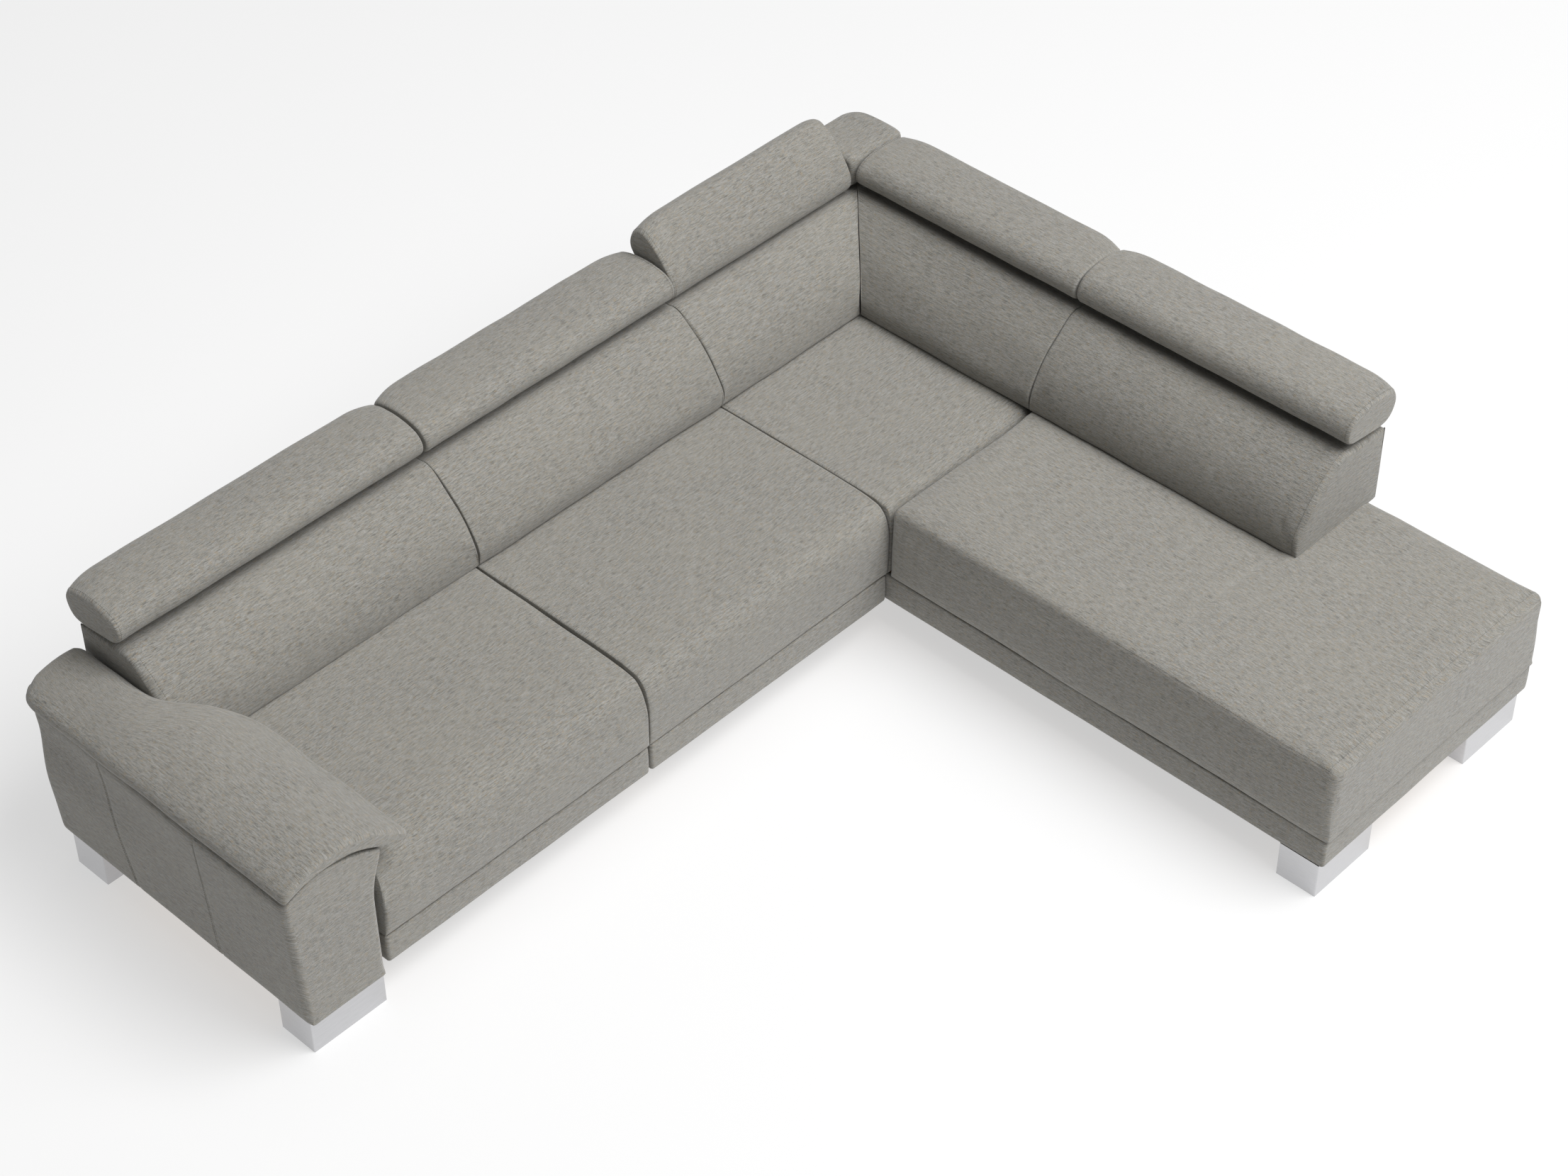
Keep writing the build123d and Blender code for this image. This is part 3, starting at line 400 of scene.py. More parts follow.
def move_points(mesh, points):
    mesh.vertices.foreach_set("co", points.astype(np.float32).ravel())
    mesh.update()


def placed(name, data):
    """A new object of the scene."""
    obj = bpy.data.objects.new(name, data)
    bpy.context.scene.collection.objects.link(obj)
    return obj


def woven_piece(name, points, faces, uvs):
    """A new object with a UV map for the weave."""
    mesh = bpy.data.meshes.new(name)
    mesh.from_pydata(points, [], faces)
    mesh.uv_layers.new(name="weave").data.foreach_set("uv", np.array(uvs, np.float32).ravel())
    return placed(name, mesh)


class Soft:
    """A padded piece: its object and, for each vertex, its place along, into and up, and its side."""

    def __init__(self, obj, local, counts, side_of):
        self.obj = obj
        self.local = local
        self.starts = np.cumsum([0, *counts])
        self.side_of = side_of

    def rings(self):
        on_rings = coordinates(self.obj.data)[self.side_of < END]
        return on_rings.reshape(-1, self.starts[-1], 3)

    def ring(self, number, first_side, last_side):
        """Points of one ring, from the start of one side to the end of another."""
        picks = np.arange(self.starts[first_side], self.starts[last_side + 1] + 1)
        return self.rings()[number][picks % self.starts[-1]]

    def edge(self, side):
        """Points of the edge line at the start of a side, along the whole piece."""
        return self.rings()[:, self.starts[side]]


print("padded piece ready")

# %% [markdown]
# `soft_box` joins the rings to a closed mesh of quads and writes the weave's UV map: along the piece
# one way, round the ring the other way. The end grids are blended from their four border lines. They
# are cut from another place of the cloth, so their map is shifted.

# %% The soft box
END_SHIFT = 0.37


def end_grid(ring, n_into, n_up):
    """Points inside an end, blended from its border, as rows from the bottom up."""
    border = np.vstack([ring, ring[:1]])
    low = border[:n_into + 1]
    far = border[n_into:n_into + n_up + 1]
    high = border[n_into + n_up:2 * n_into + n_up + 1][::-1]
    near = border[2 * n_into + n_up:][::-1]
    points = []
    for k in range(1, n_up):
        v = k / n_up
        for j in range(1, n_into):
            u = j / n_into
            sides = (1 - v) * low[j] + v * high[j] + (1 - u) * near[k] + u * far[k]
            corners = ((1 - u) * (1 - v) * low[0] + u * (1 - v) * low[-1]
                       + (1 - u) * v * high[0] + u * v * high[-1])
            points.append(sides - corners)
    return np.array(points)


def end_quads(first, start, n_into, n_up):
    """Quads of an end whose ring begins at one vertex and whose inner grid begins at another."""
    count = 2 * (n_into + n_up)
    border = first + np.arange(count + 1) % count
    index = np.empty((n_up + 1, n_into + 1), int)
    index[0] = border[:n_into + 1]
    index[:, -1] = border[n_into:n_into + n_up + 1]
    index[-1, ::-1] = border[n_into + n_up:2 * n_into + n_up + 1]
    index[::-1, 0] = border[2 * n_into + n_up:]
    index[1:-1, 1:-1] = start + np.arange((n_up - 1) * (n_into - 1)).reshape(n_up - 1, n_into - 1)
    corners = (index[:-1, :-1], index[:-1, 1:], index[1:, 1:], index[1:, :-1])
    return np.stack(corners, axis=-1).reshape(-1, 4)


def soft_box(name, wing, stations, n_into, n_up):
    """A closed mesh through rings of four sides: low, far, high, near."""
    counts = (n_into, n_up, n_into, n_up)
    rings = []
    for along, sides in stations:
        ring = np.vstack([shared_out(side, count)[:-1] for side, count in zip(sides, counts)])
        rings.append(np.column_stack([np.full(len(ring), along), ring]))
    rings = np.array(rings)
    total, count = rings.shape[:2]
    middle = rings[total // 2]
    girth = lengths_along(np.vstack([middle, middle[:1]]))
    faces, uvs = [], []
    for s in range(total - 1):
        a, b = rings[s, 0, 0], rings[s + 1, 0, 0]
        for i in range(count):
            j = (i + 1) % count
            v, w = girth[i], girth[i + 1]
            faces.append((s * count + i, s * count + j, (s + 1) * count + j, (s + 1) * count + i))
            uvs.append(((a, v), (a, w), (b, w), (b, v)))
    ends = [end_grid(rings[number], n_into, n_up) for number in (0, -1)]
    local = np.vstack([rings.reshape(-1, 3), *ends])
    start = total * count
    caps = (end_quads(0, start, n_into, n_up)[:, ::-1],
            end_quads(start - count, start + len(ends[0]), n_into, n_up))
    for quad in np.vstack(caps).tolist():
        faces.append(tuple(quad))
        uvs.append(tuple((local[v][1] + END_SHIFT, local[v][2]) for v in quad))
    side_of = np.concatenate([np.tile(np.repeat(range(END), counts), total),
                              np.full(len(local) - start, END)])
    return Soft(woven_piece(name, in_room(wing, local).tolist(), faces, uvs), local, counts, side_of)


print("soft box ready")

# %% [markdown]
# Foam under cloth is never quite flat. Blender's Cloth with pressure inside lets each cushion swell
# against its held sides, and the cover takes up folds by itself. The cushion starts a little small,
# and the cap keeps it inside its own room.

# %% Swelling a cushion
START_SMALL = 0.001
SWELL_STEPS = 20
SWELL = {
    "quality": 4, "mass": 0.25, "tension_stiffness": 12, "compression_stiffness": 12,
    "shear_stiffness": 4, "bending_stiffness": 0.4, "use_pressure": True,
    "uniform_pressure_force": 4.0, "vertex_group_mass": "held",
}


def swell(soft, held, cap=0.006):
    """Cloth with pressure on a cushion. held marks the points that stay, beside both ends."""
    obj, mesh, scene = soft.obj, soft.obj.data, bpy.context.scene
    held = held | (soft.side_of == END)
    small = coordinates(mesh) - normals(mesh) * np.where(held, 0.0, START_SMALL)[:, None]
    move_points(mesh, small)
    group = obj.vertex_groups.new(name="held")
    group.add(np.flatnonzero(held).tolist(), 1.0, "REPLACE")
    cloth = obj.modifiers.new("Cloth", "CLOTH")
    for setting, value in SWELL.items():
        setattr(cloth.settings, setting, value)
    cloth.settings.effector_weights.gravity = 0.0
    cloth.collision_settings.use_collision = False
    cloth.point_cache.frame_start = 1
    cloth.point_cache.frame_end = SWELL_STEPS
    for step in range(1, SWELL_STEPS + 1):
        scene.frame_set(step)
    settled = coordinates(obj.evaluated_get(bpy.context.evaluated_depsgraph_get()).data)
    obj.modifiers.remove(cloth)
    obj.vertex_groups.remove(group)
    scene.frame_set(1)
    move = settled - small
    length = np.linalg.norm(move, axis=1)
    move *= np.minimum(1.0, cap / np.maximum(length, 1e-9))[:, None]
    move_points(mesh, small + move)


print("swelling ready:", SWELL_STEPS, "steps")

# %% [markdown]
# A finished cushion is smoothed by one subdivision. A headrest also gets the slits that its fittings
# need, cut by Boolean, with crisp rims. Then the piece gets its cover and takes the place of its solid.

# %% Finishing a cushion
CRISP_ANGLE = 50


def made_plain(obj):
    """The result of an object's modifiers as its plain mesh."""
    graph = bpy.context.evaluated_depsgraph_get()
    plain = bpy.data.meshes.new_from_object(obj.evaluated_get(graph))
    obj.modifiers.clear()
    obj.data = plain
    plain.name = obj.name
    print(obj.name, "faces", len(plain.polygons))
    return plain


def finished(obj, body, stands_for, rooms=()):
    """Smooth a piece, cut its rooms, give it its cover and let it ride on its body."""
    smooth = obj.modifiers.new("Subdivision", "SUBSURF")
    smooth.levels = 1
    smooth.render_levels = 1
    for room in rooms:
        slit = obj.modifiers.new("Slit", "BOOLEAN")
        slit.object = room
        slit.operation = "DIFFERENCE"
        slit.solver = "EXACT"
    plain = made_plain(obj)
    plain.materials.clear()
    plain.materials.append(cover)
    plain.shade_smooth()
    if rooms:
        plain.set_sharp_from_angle(angle=math.radians(CRISP_ANGLE))
    for room in rooms:
        bpy.data.objects.remove(room)
    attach(obj, body)
    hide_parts(*stands_for)
    return obj


print("finishing ready")

# %% [markdown]
# Real covers are uneven all over, gathered beside their seams and pulled into a few longer folds.
# Seeded waves along the normals give the first two, and one soft valley between low ridges the third.

# %% Ripples, puckers and creases
WAVES = 7
LINE_STEPS = 60


def ripple(piece, amount, length, seed, where=None):
    """Soft unevenness of a cover: a few seeded waves, along the surface normals."""
    mesh = piece.data
    points = coordinates(mesh)
    chance = np.random.default_rng(seed)
    height = np.zeros(len(points))
    for _ in range(WAVES):
        way = chance.normal(size=3)
        way /= np.linalg.norm(way)
        stretch = length * chance.uniform(0.6, 1.6)
        height += np.sin(points @ way * (2 * math.pi / stretch) + chance.uniform(0, 6.28))
    height *= amount / 3.0
    if where is not None:
        height = height * where
    move_points(mesh, points + normals(mesh) * height[:, None])


def off_line(points, line, ease):
    """How far points are from a line, and a share that falls to 0 towards both of its ends."""
    steps = shared_out(line, LINE_STEPS)
    away = np.linalg.norm(points[:, None, :] - steps[None, :, :], axis=2)
    share = away.argmin(axis=1) / LINE_STEPS
    return away.min(axis=1), np.clip(np.minimum(share, 1 - share) * ease, 0, 1)


def pucker(made, line, amount, reach, length, seed):
    """Fine folds of a finished cover beside a line, fading out with the distance."""
    away, fade = off_line(coordinates(made.data), line, ease=8)
    ripple(made, amount, length, seed, where=np.exp(-(away / reach) ** 2) * fade)


def crease(made, line, depth, width):
    """One pulled fold along a line: a soft valley between two low ridges."""
    points, out = coordinates(made.data), normals(made.data)
    away, fade = off_line(points, line, ease=5)
    x = away / width
    move_points(made.data, points - out * (depth * (1 - x * x) * np.exp(-x * x) * fade)[:, None])


print("cover folds ready:", WAVES, "waves")

# %% [markdown]
# Three seat cushions lie side by side along the long wing. They are foam blocks with a crowned top
# that rolls over the front edge, so one section swept along the wing makes each of them. The cloth
# gathers a little along the roll of the two open seats.

# %% Seat cushions
SEAT_ROLLS = {"left": 0.062, "middle": 0.062, "corner": 0.030}
SEAT_FRONT = -0.004


def seat_sides(roll):
    """Sides of a seat cushion across the long wing, with the depth of its front roll."""
    rear = SEAT_LINE["long"] + BACK_DEPTH
    toe, brow = (SEAT_FRONT + 0.004, SEAT_LOW), (roll * 0.55, SEAT_TOP - roll * 0.24)
    heel, nape = (rear, SEAT_LOW), (rear, SEAT_TOP - 0.008)
    top = [nape, (rear * 0.6, SEAT_TOP - 0.001), (rear * 0.3, SEAT_TOP),
           (roll * 1.9, SEAT_TOP - 0.003), (roll, SEAT_TOP - 0.009), brow]
    face = [brow, (roll * 0.2, SEAT_TOP - roll * 0.6), (roll * 0.02, SEAT_TOP - roll * 1.1),
            (SEAT_FRONT - 0.001, SEAT_TOP - roll * 1.8), (SEAT_FRONT, SEAT_LOW + 0.03), toe]
    return [np.array([toe, heel]), np.array([heel, nape]), rounded(top), rounded(face)]


seat_nodes = ["seat_cushion_" + name for name in SEAT_ROLLS]
seat_gaps = [between(first, second, 0) for first, second in zip(seat_nodes, seat_nodes[1:])]
seat_starts = [span("long", seat_nodes[0])[0, 0], *seat_gaps]
seat_ends = [*seat_gaps, span("long", seat_nodes[-1])[1, 0]]
for number, (name, roll) in enumerate(SEAT_ROLLS.items()):
    start, end = seat_starts[number] + JOIN, seat_ends[number] - JOIN
    sides = seat_sides(roll)
    stations = [(place, drawn_in(sides, 0.005 * share, flat=((LOW, UP), (FAR, INTO))))
                for place, share in end_places(start, end, runs=(0.010, 0.010))]
    cushion = soft_box("seat_" + name, "long", stations, n_into=54, n_up=15)
    swell(cushion, (cushion.local[:, 2] < SEAT_LOW + 0.004)
          | (cushion.local[:, 1] > SEAT_LINE["long"] + 0.05))
    ripple(cushion.obj, amount=0.0012, length=0.30, seed=11 + number, where=cushion.side_of < END)
    made = finished(cushion.obj, "sofa", [seat_nodes[number]])
    if name != "corner":
        brow = [(place, roll * 0.5, SEAT_TOP - roll * 0.25) for place in (start + 0.03, end - 0.03)]
        pucker(made, in_room("long", brow), amount=0.0006, reach=0.030, length=0.028, seed=111 + number)

# %% [markdown]
# The chaise cushion runs along the right wing. Its top is sewn to upright bands on both sides, and
# its outer side steps in where it runs under the back. The top is crowned only in front of the back,
# so the crown rises over a short run. Two pulled folds cross it, as they do on a seat that is used.

# %% The chaise cushion
STEP_PLACE = 0.865
CROWN_RUN, CROWN_UNDER, CROWN_OPEN = 0.14, -0.0005, 0.008
CHAISE_FOLDS = (
    ((0.882, 0.60), (0.862, 0.30), (0.850, 0.07)),
    ((1.355, 0.74), (1.335, 0.48), (1.300, 0.23)),
)
(chaise_start, chaise_west, _), (chaise_end, chaise_east, _) = span("right", "seat_cushion_chaise")


def chaise_sides(far, crown):
    """Sides of the chaise cushion across the right wing: a crowned top sewn to upright bands."""
    near = chaise_west
    west, east = SEAT_TOP + 0.002, SEAT_TOP + 0.001 + crown

    def upright(x, way, top):
        return rounded([(x + way * 0.004, SEAT_LOW), (x, SEAT_LOW + 0.030),
                        (x - way * 0.003, SEAT_LOW + 0.11), (x, top - 0.034),
                        (x + way * 0.002, top - 0.015), (x + way * 0.007, top - 0.006)])

    low = np.array([(near + 0.004, SEAT_LOW), (far - 0.004, SEAT_LOW)])
    top = [(far - 0.007, east - 0.006), (far - 0.017, east - 0.001), (far - 0.04, east),
           (far - 0.20, east + crown * 0.2), (near + 0.30, west + crown * 0.5),
           (near + 0.12, west + 0.001), (near + 0.04, west), (near + 0.017, west - 0.001),
           (near + 0.007, west - 0.006)]
    return [low, upright(far, -1, east), rounded(top), upright(near, 1, west)[::-1]]


stations = []
for place, share in end_places(chaise_start + 0.001, chaise_end - 0.001, runs=(0.014, 0.024),
                               extra=(STEP_PLACE - 0.002, STEP_PLACE + 0.002)):
    far = SEAT_LINE["right"] + BACK_DEPTH if place < STEP_PLACE else chaise_east
    crown = float(np.interp(place, (STEP_PLACE, STEP_PLACE + CROWN_RUN), (CROWN_UNDER, CROWN_OPEN)))
    draw = 0.013 if place > (chaise_start + chaise_end) / 2 else 0.007
    stations.append((place, drawn_in(chaise_sides(far, crown), draw * share, flat=((LOW, UP),))))
chaise = soft_box("seat_chaise", "right", stations, n_into=56, n_up=15)
under_back = (chaise.local[:, 1] > SEAT_LINE["right"] - 0.02) & (chaise.local[:, 0] < STEP_PLACE + 0.01)
swell(chaise, (chaise.local[:, 2] < SEAT_LOW + 0.004) | under_back)
ripple(chaise.obj, amount=0.0015, length=0.35, seed=21, where=chaise.side_of < END)
west_edge = chaise.edge(NEAR)
chaise_seams = [west_edge[len(west_edge) // 2:-6], chaise.ring(-END_RINGS, HIGH, HIGH)]
chaise_top = finished(chaise.obj, "sofa", ["seat_cushion_chaise"])
for number, line in enumerate(chaise_seams):
    pucker(chaise_top, line, amount=0.0010, reach=0.018, length=0.030, seed=121 + number)
for number, line in enumerate(CHAISE_FOLDS):
    fold = in_room("right", [(*spot, SEAT_TOP + 0.001) for spot in line])
    crease(chaise_top, fold, depth=0.0014, width=0.022)
    pucker(chaise_top, fold, amount=0.0007, reach=0.030, length=0.026, seed=131 + number)

# %% [markdown]
# Each back cushion stands on its seat, bulges at the small of the back and leans away under its
# headrest. The two corner ones meet on a mitre: they are drawn straight and then sheared to it. The
# left and the chaise back also wrap round their open ends, out to the rear cover.

# %% Back cushions
BACK_FACE = [(0.140, 0.236), (0.111, 0.213), (0.057, 0.161), (0.019, 0.106), (-0.006, 0.051), (0.0, 0.001)]
BACK_HIGH = [(0.208, 0.247), (0.183, 0.252), (0.160, 0.247), (0.140, 0.236)]


def back_sides(wing, rear):
    line = np.array([SEAT_LINE[wing], SEAT_TOP])
    foot, heel = (SEAT_LINE[wing], SEAT_TOP + 0.001), (SEAT_LINE[wing] + rear, SEAT_TOP + 0.001)
    return [np.array([foot, heel]), np.array([heel, (SEAT_LINE[wing] + rear, SEAT_TOP + 0.243)]),
            rounded(np.vstack([[(rear, 0.243)], BACK_HIGH]) + line), rounded(np.array(BACK_FACE) + line)]


def back_cushion(name, wing, start, end, draws=(0.003, 0.003), runs=(0.006, 0.006), wrap=None, mitre=0):
    """A back cushion. Outside the place wrap it reaches the rear cover, and mitre names its cut end."""
    stations = []
    steps = () if wrap is None else (wrap - 0.0015, wrap + 0.0015)
    for place, share in end_places(start, end, runs, extra=steps):
        wrapped = wrap is not None and (place < wrap if wing == "long" else place > wrap)
        sides = back_sides(wing, BACK_REAR - 0.002 if wrapped else BACK_DEPTH)
        draw = draws[0] if place < (start + end) / 2 else draws[1]
        stations.append((place, drawn_in(sides, draw * share, flat=((LOW, UP), (FAR, INTO)))))
    back = soft_box("back_" + name, wing, stations, n_into=20, n_up=18)
    if mitre:
        outer, inner = (end, start) if mitre > 0 else (start, end)
        limit = outer + mitre * (back.local[:, 1] - SEAT_LINE[wing])
        share = (back.local[:, 0] - inner) / (outer - inner)
        back.local[:, 0] = inner + share * (limit - inner)
        move_points(back.obj.data, in_room(wing, back.local))
    return back


arm_end = span("long", "back_end_arm")[0, 0]
left_start = span("long", "back_cushion_left")[0, 0]
left_end = between("back_cushion_left", "back_cushion_middle", 0)
middle_end = between("back_cushion_middle", "back_cushion_corner_left", 0)
right_end = -between("back_cushion_chaise", "back_cushion_corner_right", 1)
open_end = span("right", "back_end_chaise")[1, 0]
BACKS = {
    "left": ("long", arm_end, left_end - JOIN, dict(
        draws=(0.014, 0.003), runs=(0.022, 0.006), wrap=left_start - 0.002)),
    "middle": ("long", left_end + JOIN, middle_end - JOIN, {}),
    "corner_left": ("long", middle_end + JOIN, SEAT_LINE["right"] - 0.001, dict(
        draws=(0.003, 0.0), runs=(0.006, 0.0015), mitre=1)),
    "corner_right": ("right", -SEAT_LINE["long"] + 0.001, right_end - JOIN, dict(
        draws=(0.0, 0.003), runs=(0.0015, 0.006), mitre=-1)),
    "chaise": ("right", right_end + JOIN, open_end, dict(
        draws=(0.003, 0.010), runs=(0.006, 0.016), wrap=0.861)),
}
WRAPPED_ENDS = {"left": ["back_end_arm"], "chaise": ["back_end_chaise"]}
sofa_seams = []
back_pieces = {}
for number, (name, (wing, start, end, shape)) in enumerate(BACKS.items()):
    back = back_cushion(name, wing, start, end, **shape)
    swell(back, (back.side_of < HIGH) | (back.local[:, 2] > SEAT_TOP + 0.235))
    ripple(back.obj, amount=0.0012, length=0.22, seed=31 + number, where=back.side_of < END)
    seam = {"left": (END_RINGS - 1, NEAR, NEAR), "chaise": (-END_RINGS, HIGH, NEAR)}.get(name)
    line = back.ring(*seam) if seam else None
    back_pieces[name] = finished(back.obj, "sofa", ["back_cushion_" + name, *WRAPPED_ENDS.get(name, [])])
    if seam:
        sofa_seams.append((back_pieces[name], line))

# %% [markdown]
# The corner back on the right wing is pulled a little towards the mitre, which leaves three short
# folds down its face. They are pressed into the finished cover.

# %% Folds of the corner back
for number, place in enumerate((0.045, 0.075, 0.120)):
    fold = in_room("right", [(place, SEAT_LINE["right"] + 0.06, SEAT_TOP + 0.165),
                             (place + 0.01, SEAT_LINE["right"] + 0.01, SEAT_TOP + 0.08),
                             (place + 0.02, SEAT_LINE["right"], SEAT_TOP + 0.01)])
    crease(back_pieces["corner_right"], fold, depth=0.0012, width=0.014)
    pucker(back_pieces["corner_right"], fold, amount=0.0006, reach=0.025, length=0.024, seed=141 + number)
print("folds of the corner back pressed")

# %% [markdown]
# The headrests are long rolls with a flat underside and flat sewn ends. Their section is drawn about
# the hinge, so a raised one is the same section turned. The rear edge is drawn in towards both ends.

# %% Section of a headrest
HINGE_DEPTH, HINGE_HEIGHT = 0.233, 0.7548
PAD_LOW = [(-0.030, -0.042), (0.100, -0.053)]
PAD_FAR = [(0.100, -0.053), (0.133, -0.048), (0.158, -0.029), (0.170, 0.002), (0.167, 0.022), (0.155, 0.038)]
PAD_HIGH = [(0.155, 0.038), (0.120, 0.046), (0.078, 0.0485), (0.030, 0.047), (-0.008, 0.042), (-0.034, 0.035)]
PAD_NEAR = [(-0.034, 0.035), (-0.054, 0.019), (-0.064, -0.004), (-0.057, -0.029), (-0.045, -0.039),
            (-0.030, -0.042)]
END_PULL, CORNER_PULL = (0.020, 0.10), (0.010, 0.05)


def turned(points, angle, wing):
    """Points about the hinge, turned and moved to their wing."""
    c, s = math.cos(math.radians(angle)), math.sin(math.radians(angle))
    p = np.asarray(points, float)
    hinge = np.array([SEAT_LINE[wing] + HINGE_DEPTH, HINGE_HEIGHT])
    return np.stack([p[:, 0] * c - p[:, 1] * s, p[:, 0] * s + p[:, 1] * c], axis=1) + hinge


def headrest(name, wing, start, end, angle, plump, last_pull):
    """A roll. plump raises its top, and last_pull says how deep and how far its last end is drawn in."""
    stations = []
    sides = [np.array(PAD_LOW), rounded(PAD_FAR), rounded(PAD_HIGH), rounded(PAD_NEAR)]
    for place, share in end_places(start, end, runs=(0.011, 0.011)):
        depth, run = END_PULL if place - start < end - place else last_pull
        pull = depth * max(0.0, 1 - min(place - start, end - place) / run) ** 2
        bent = []
        for side in drawn_in(sides, 0.007 * share):
            rear = np.clip((side[:, 0] - 0.04) / 0.11, 0, 1) * pull
            fuller = plump * np.clip(side[:, 1] / 0.04, 0, 1)
            section = np.column_stack([side[:, 0] - rear, side[:, 1] - rear * 0.35 + fuller])
            bent.append(turned(section, angle, wing))
        stations.append((place, bent))
    return soft_box("headrest_roll_" + name, wing, stations, n_into=14, n_up=9)


print("headrest section ready")

# %% [markdown]
# Two fittings carry each headrest. Their brackets stand still while the roll swings, so the cover is
# slit for them: a prism round the hinge, as wide as the bar swings inside the roll.

# %% Rooms for the fittings
BAR_ANGLE, BAR_SWING, BAR_REACH, BAR_SIDE, KNUCKLE = -32.0, 78.0, 0.126, 0.015, 0.018
ROOM_BEFORE, ROOM_AFTER, PLATE = 0.014, 0.010, 0.002


def aim(turn, length):
    return length * math.cos(math.radians(turn)), length * math.sin(math.radians(turn))


def fitting_room(wing, place, angle):
    """A prism cut out for one fitting: round at the hinge, then as wide as its bar swings."""
    last = BAR_ANGLE - BAR_SWING
    outline = [aim(turn, KNUCKLE) for turn in np.linspace(last + 270, BAR_ANGLE + 90, 9)]
    outline += [np.add(aim(BAR_ANGLE, BAR_REACH), aim(BAR_ANGLE + 90, BAR_SIDE)),
                aim(BAR_ANGLE - BAR_SWING / 2, BAR_REACH * 1.4),
                np.add(aim(last, BAR_REACH), aim(last - 90, BAR_SIDE))]
    section = turned(outline, angle, wing)
    count = len(section)
    points = [(along, *spot) for along in (place - ROOM_BEFORE, place + ROOM_AFTER) for spot in section]
    faces = [tuple(range(count)), tuple(range(2 * count - 1, count - 1, -1))]
    faces += [((k + 1) % count, k, count + k, count + (k + 1) % count) for k in range(count)]
    mesh = bpy.data.meshes.new("fitting_room")
    mesh.from_pydata(in_room(wing, points).tolist(), [], faces)
    shape = bmesh.new()
    shape.from_mesh(mesh)
    bmesh.ops.recalc_face_normals(shape, faces=shape.faces)
    shape.to_mesh(mesh)
    shape.free()
    return placed("fitting_room", mesh)


print("fitting rooms ready")

# %% [markdown]
# The headrests turn with their hinges, so each one rides on its own body. The corner one on the long
# wing stands raised, as the frame has it, and some are stuffed a little fuller than others.

# %% Headrests
RAISED_ANGLE = 48.0
STUFFING = {
    "left": ("long", 0.002), "middle": ("long", 0.002), "corner_left": ("long", 0.002),
    "corner_right": ("right", 0.0005), "chaise": ("right", 0.008),
}
headrest_seams = {}
for number, (name, (wing, plump)) in enumerate(STUFFING.items()):
    angle, last_pull = (RAISED_ANGLE, CORNER_PULL) if name == "corner_left" else (0.0, END_PULL)
    start, end = span(wing, "headrest_" + name)[:, 0]
    roll = headrest(name, wing, start, end, angle, plump, last_pull)
    first, last = span(wing, "headrest_arms_" + name)[:, 0]
    rooms = [fitting_room(wing, place, angle) for place in (first + PLATE, last - PLATE)]
    swell(roll, roll.side_of == LOW, cap=0.003)
    ripple(roll.obj, amount=0.0007, length=0.20, seed=51 + number, where=roll.side_of < END)
    line = roll.ring(-END_RINGS if name in ("middle", "chaise") else END_RINGS - 1, FAR, NEAR)
    body = name + "_headrest"
    headrest_seams[body] = (finished(roll.obj, body, ["headrest_" + name], rooms=rooms), line)

# %% [markdown]
# The arm is an upright body with a leaning outer side, covered tight. Behind the seat its inner side
# is cut away for the back cushion. Its outer cover is sewn from three panels, so the seams are drawn
# into the surface, and they lean as the panels were cut.

# %% Arm body
ARM_INSIDE, ARM_OUTSIDE = 1.826, 2.065
ARM_HIGH = SEAT_TOP + 0.110
NOTCH_PLACE, NOTCH_SIDE = SEAT_LINE["long"] - 0.012, 1.893
SIDE_SEAMS = {0.308: 0.010, 0.628: 0.140}
arm_near, arm_far = span("arm", "arm_body")[:, 0]


def arm_sides(place):
    """Sides across the arm: a leaning outer side, an arched top, and an inner side."""
    back = float(np.clip((place - 0.25) / 0.6, 0, 1))
    side = ARM_OUTSIDE + 0.030 - 0.016 * back * back * (3 - 2 * back)
    toe, heel = (ARM_OUTSIDE - 0.004, FOOT_HEIGHT), (ARM_INSIDE, FOOT_HEIGHT)
    shoulder = (side - 0.004, ARM_HIGH)
    outer = [toe, (ARM_OUTSIDE + 0.002, 0.114), (ARM_OUTSIDE + 0.005, 0.130), (ARM_OUTSIDE + 0.011, 0.22),
             (ARM_OUTSIDE + 0.017, 0.33), (side - 0.004, ARM_HIGH - 0.09), (side, ARM_HIGH - 0.02), shoulder]
    crown = [shoulder, (2.03, SEAT_TOP + 0.134), (1.965, SEAT_TOP + 0.142)]
    if place > NOTCH_PLACE:
        rim = (NOTCH_SIDE, SEAT_TOP + 0.127)
        crown += [rim]
        inner = np.array([rim, (NOTCH_SIDE, SEAT_TOP - 0.0025), (ARM_INSIDE, SEAT_TOP - 0.0025), heel])
    else:
        rim = (ARM_INSIDE - 0.033, SEAT_TOP + 0.084)
        crown += [(1.88, SEAT_TOP + 0.122), rim]
        inner = rounded([rim, (rim[0], SEAT_TOP + 0.062), (1.812, SEAT_TOP + 0.010),
                         (ARM_INSIDE - 0.002, SEAT_TOP - 0.045), (ARM_INSIDE, SEAT_TOP - 0.12), heel])
    return [np.array([heel, toe]), rounded(outer), rounded(crown), inner]


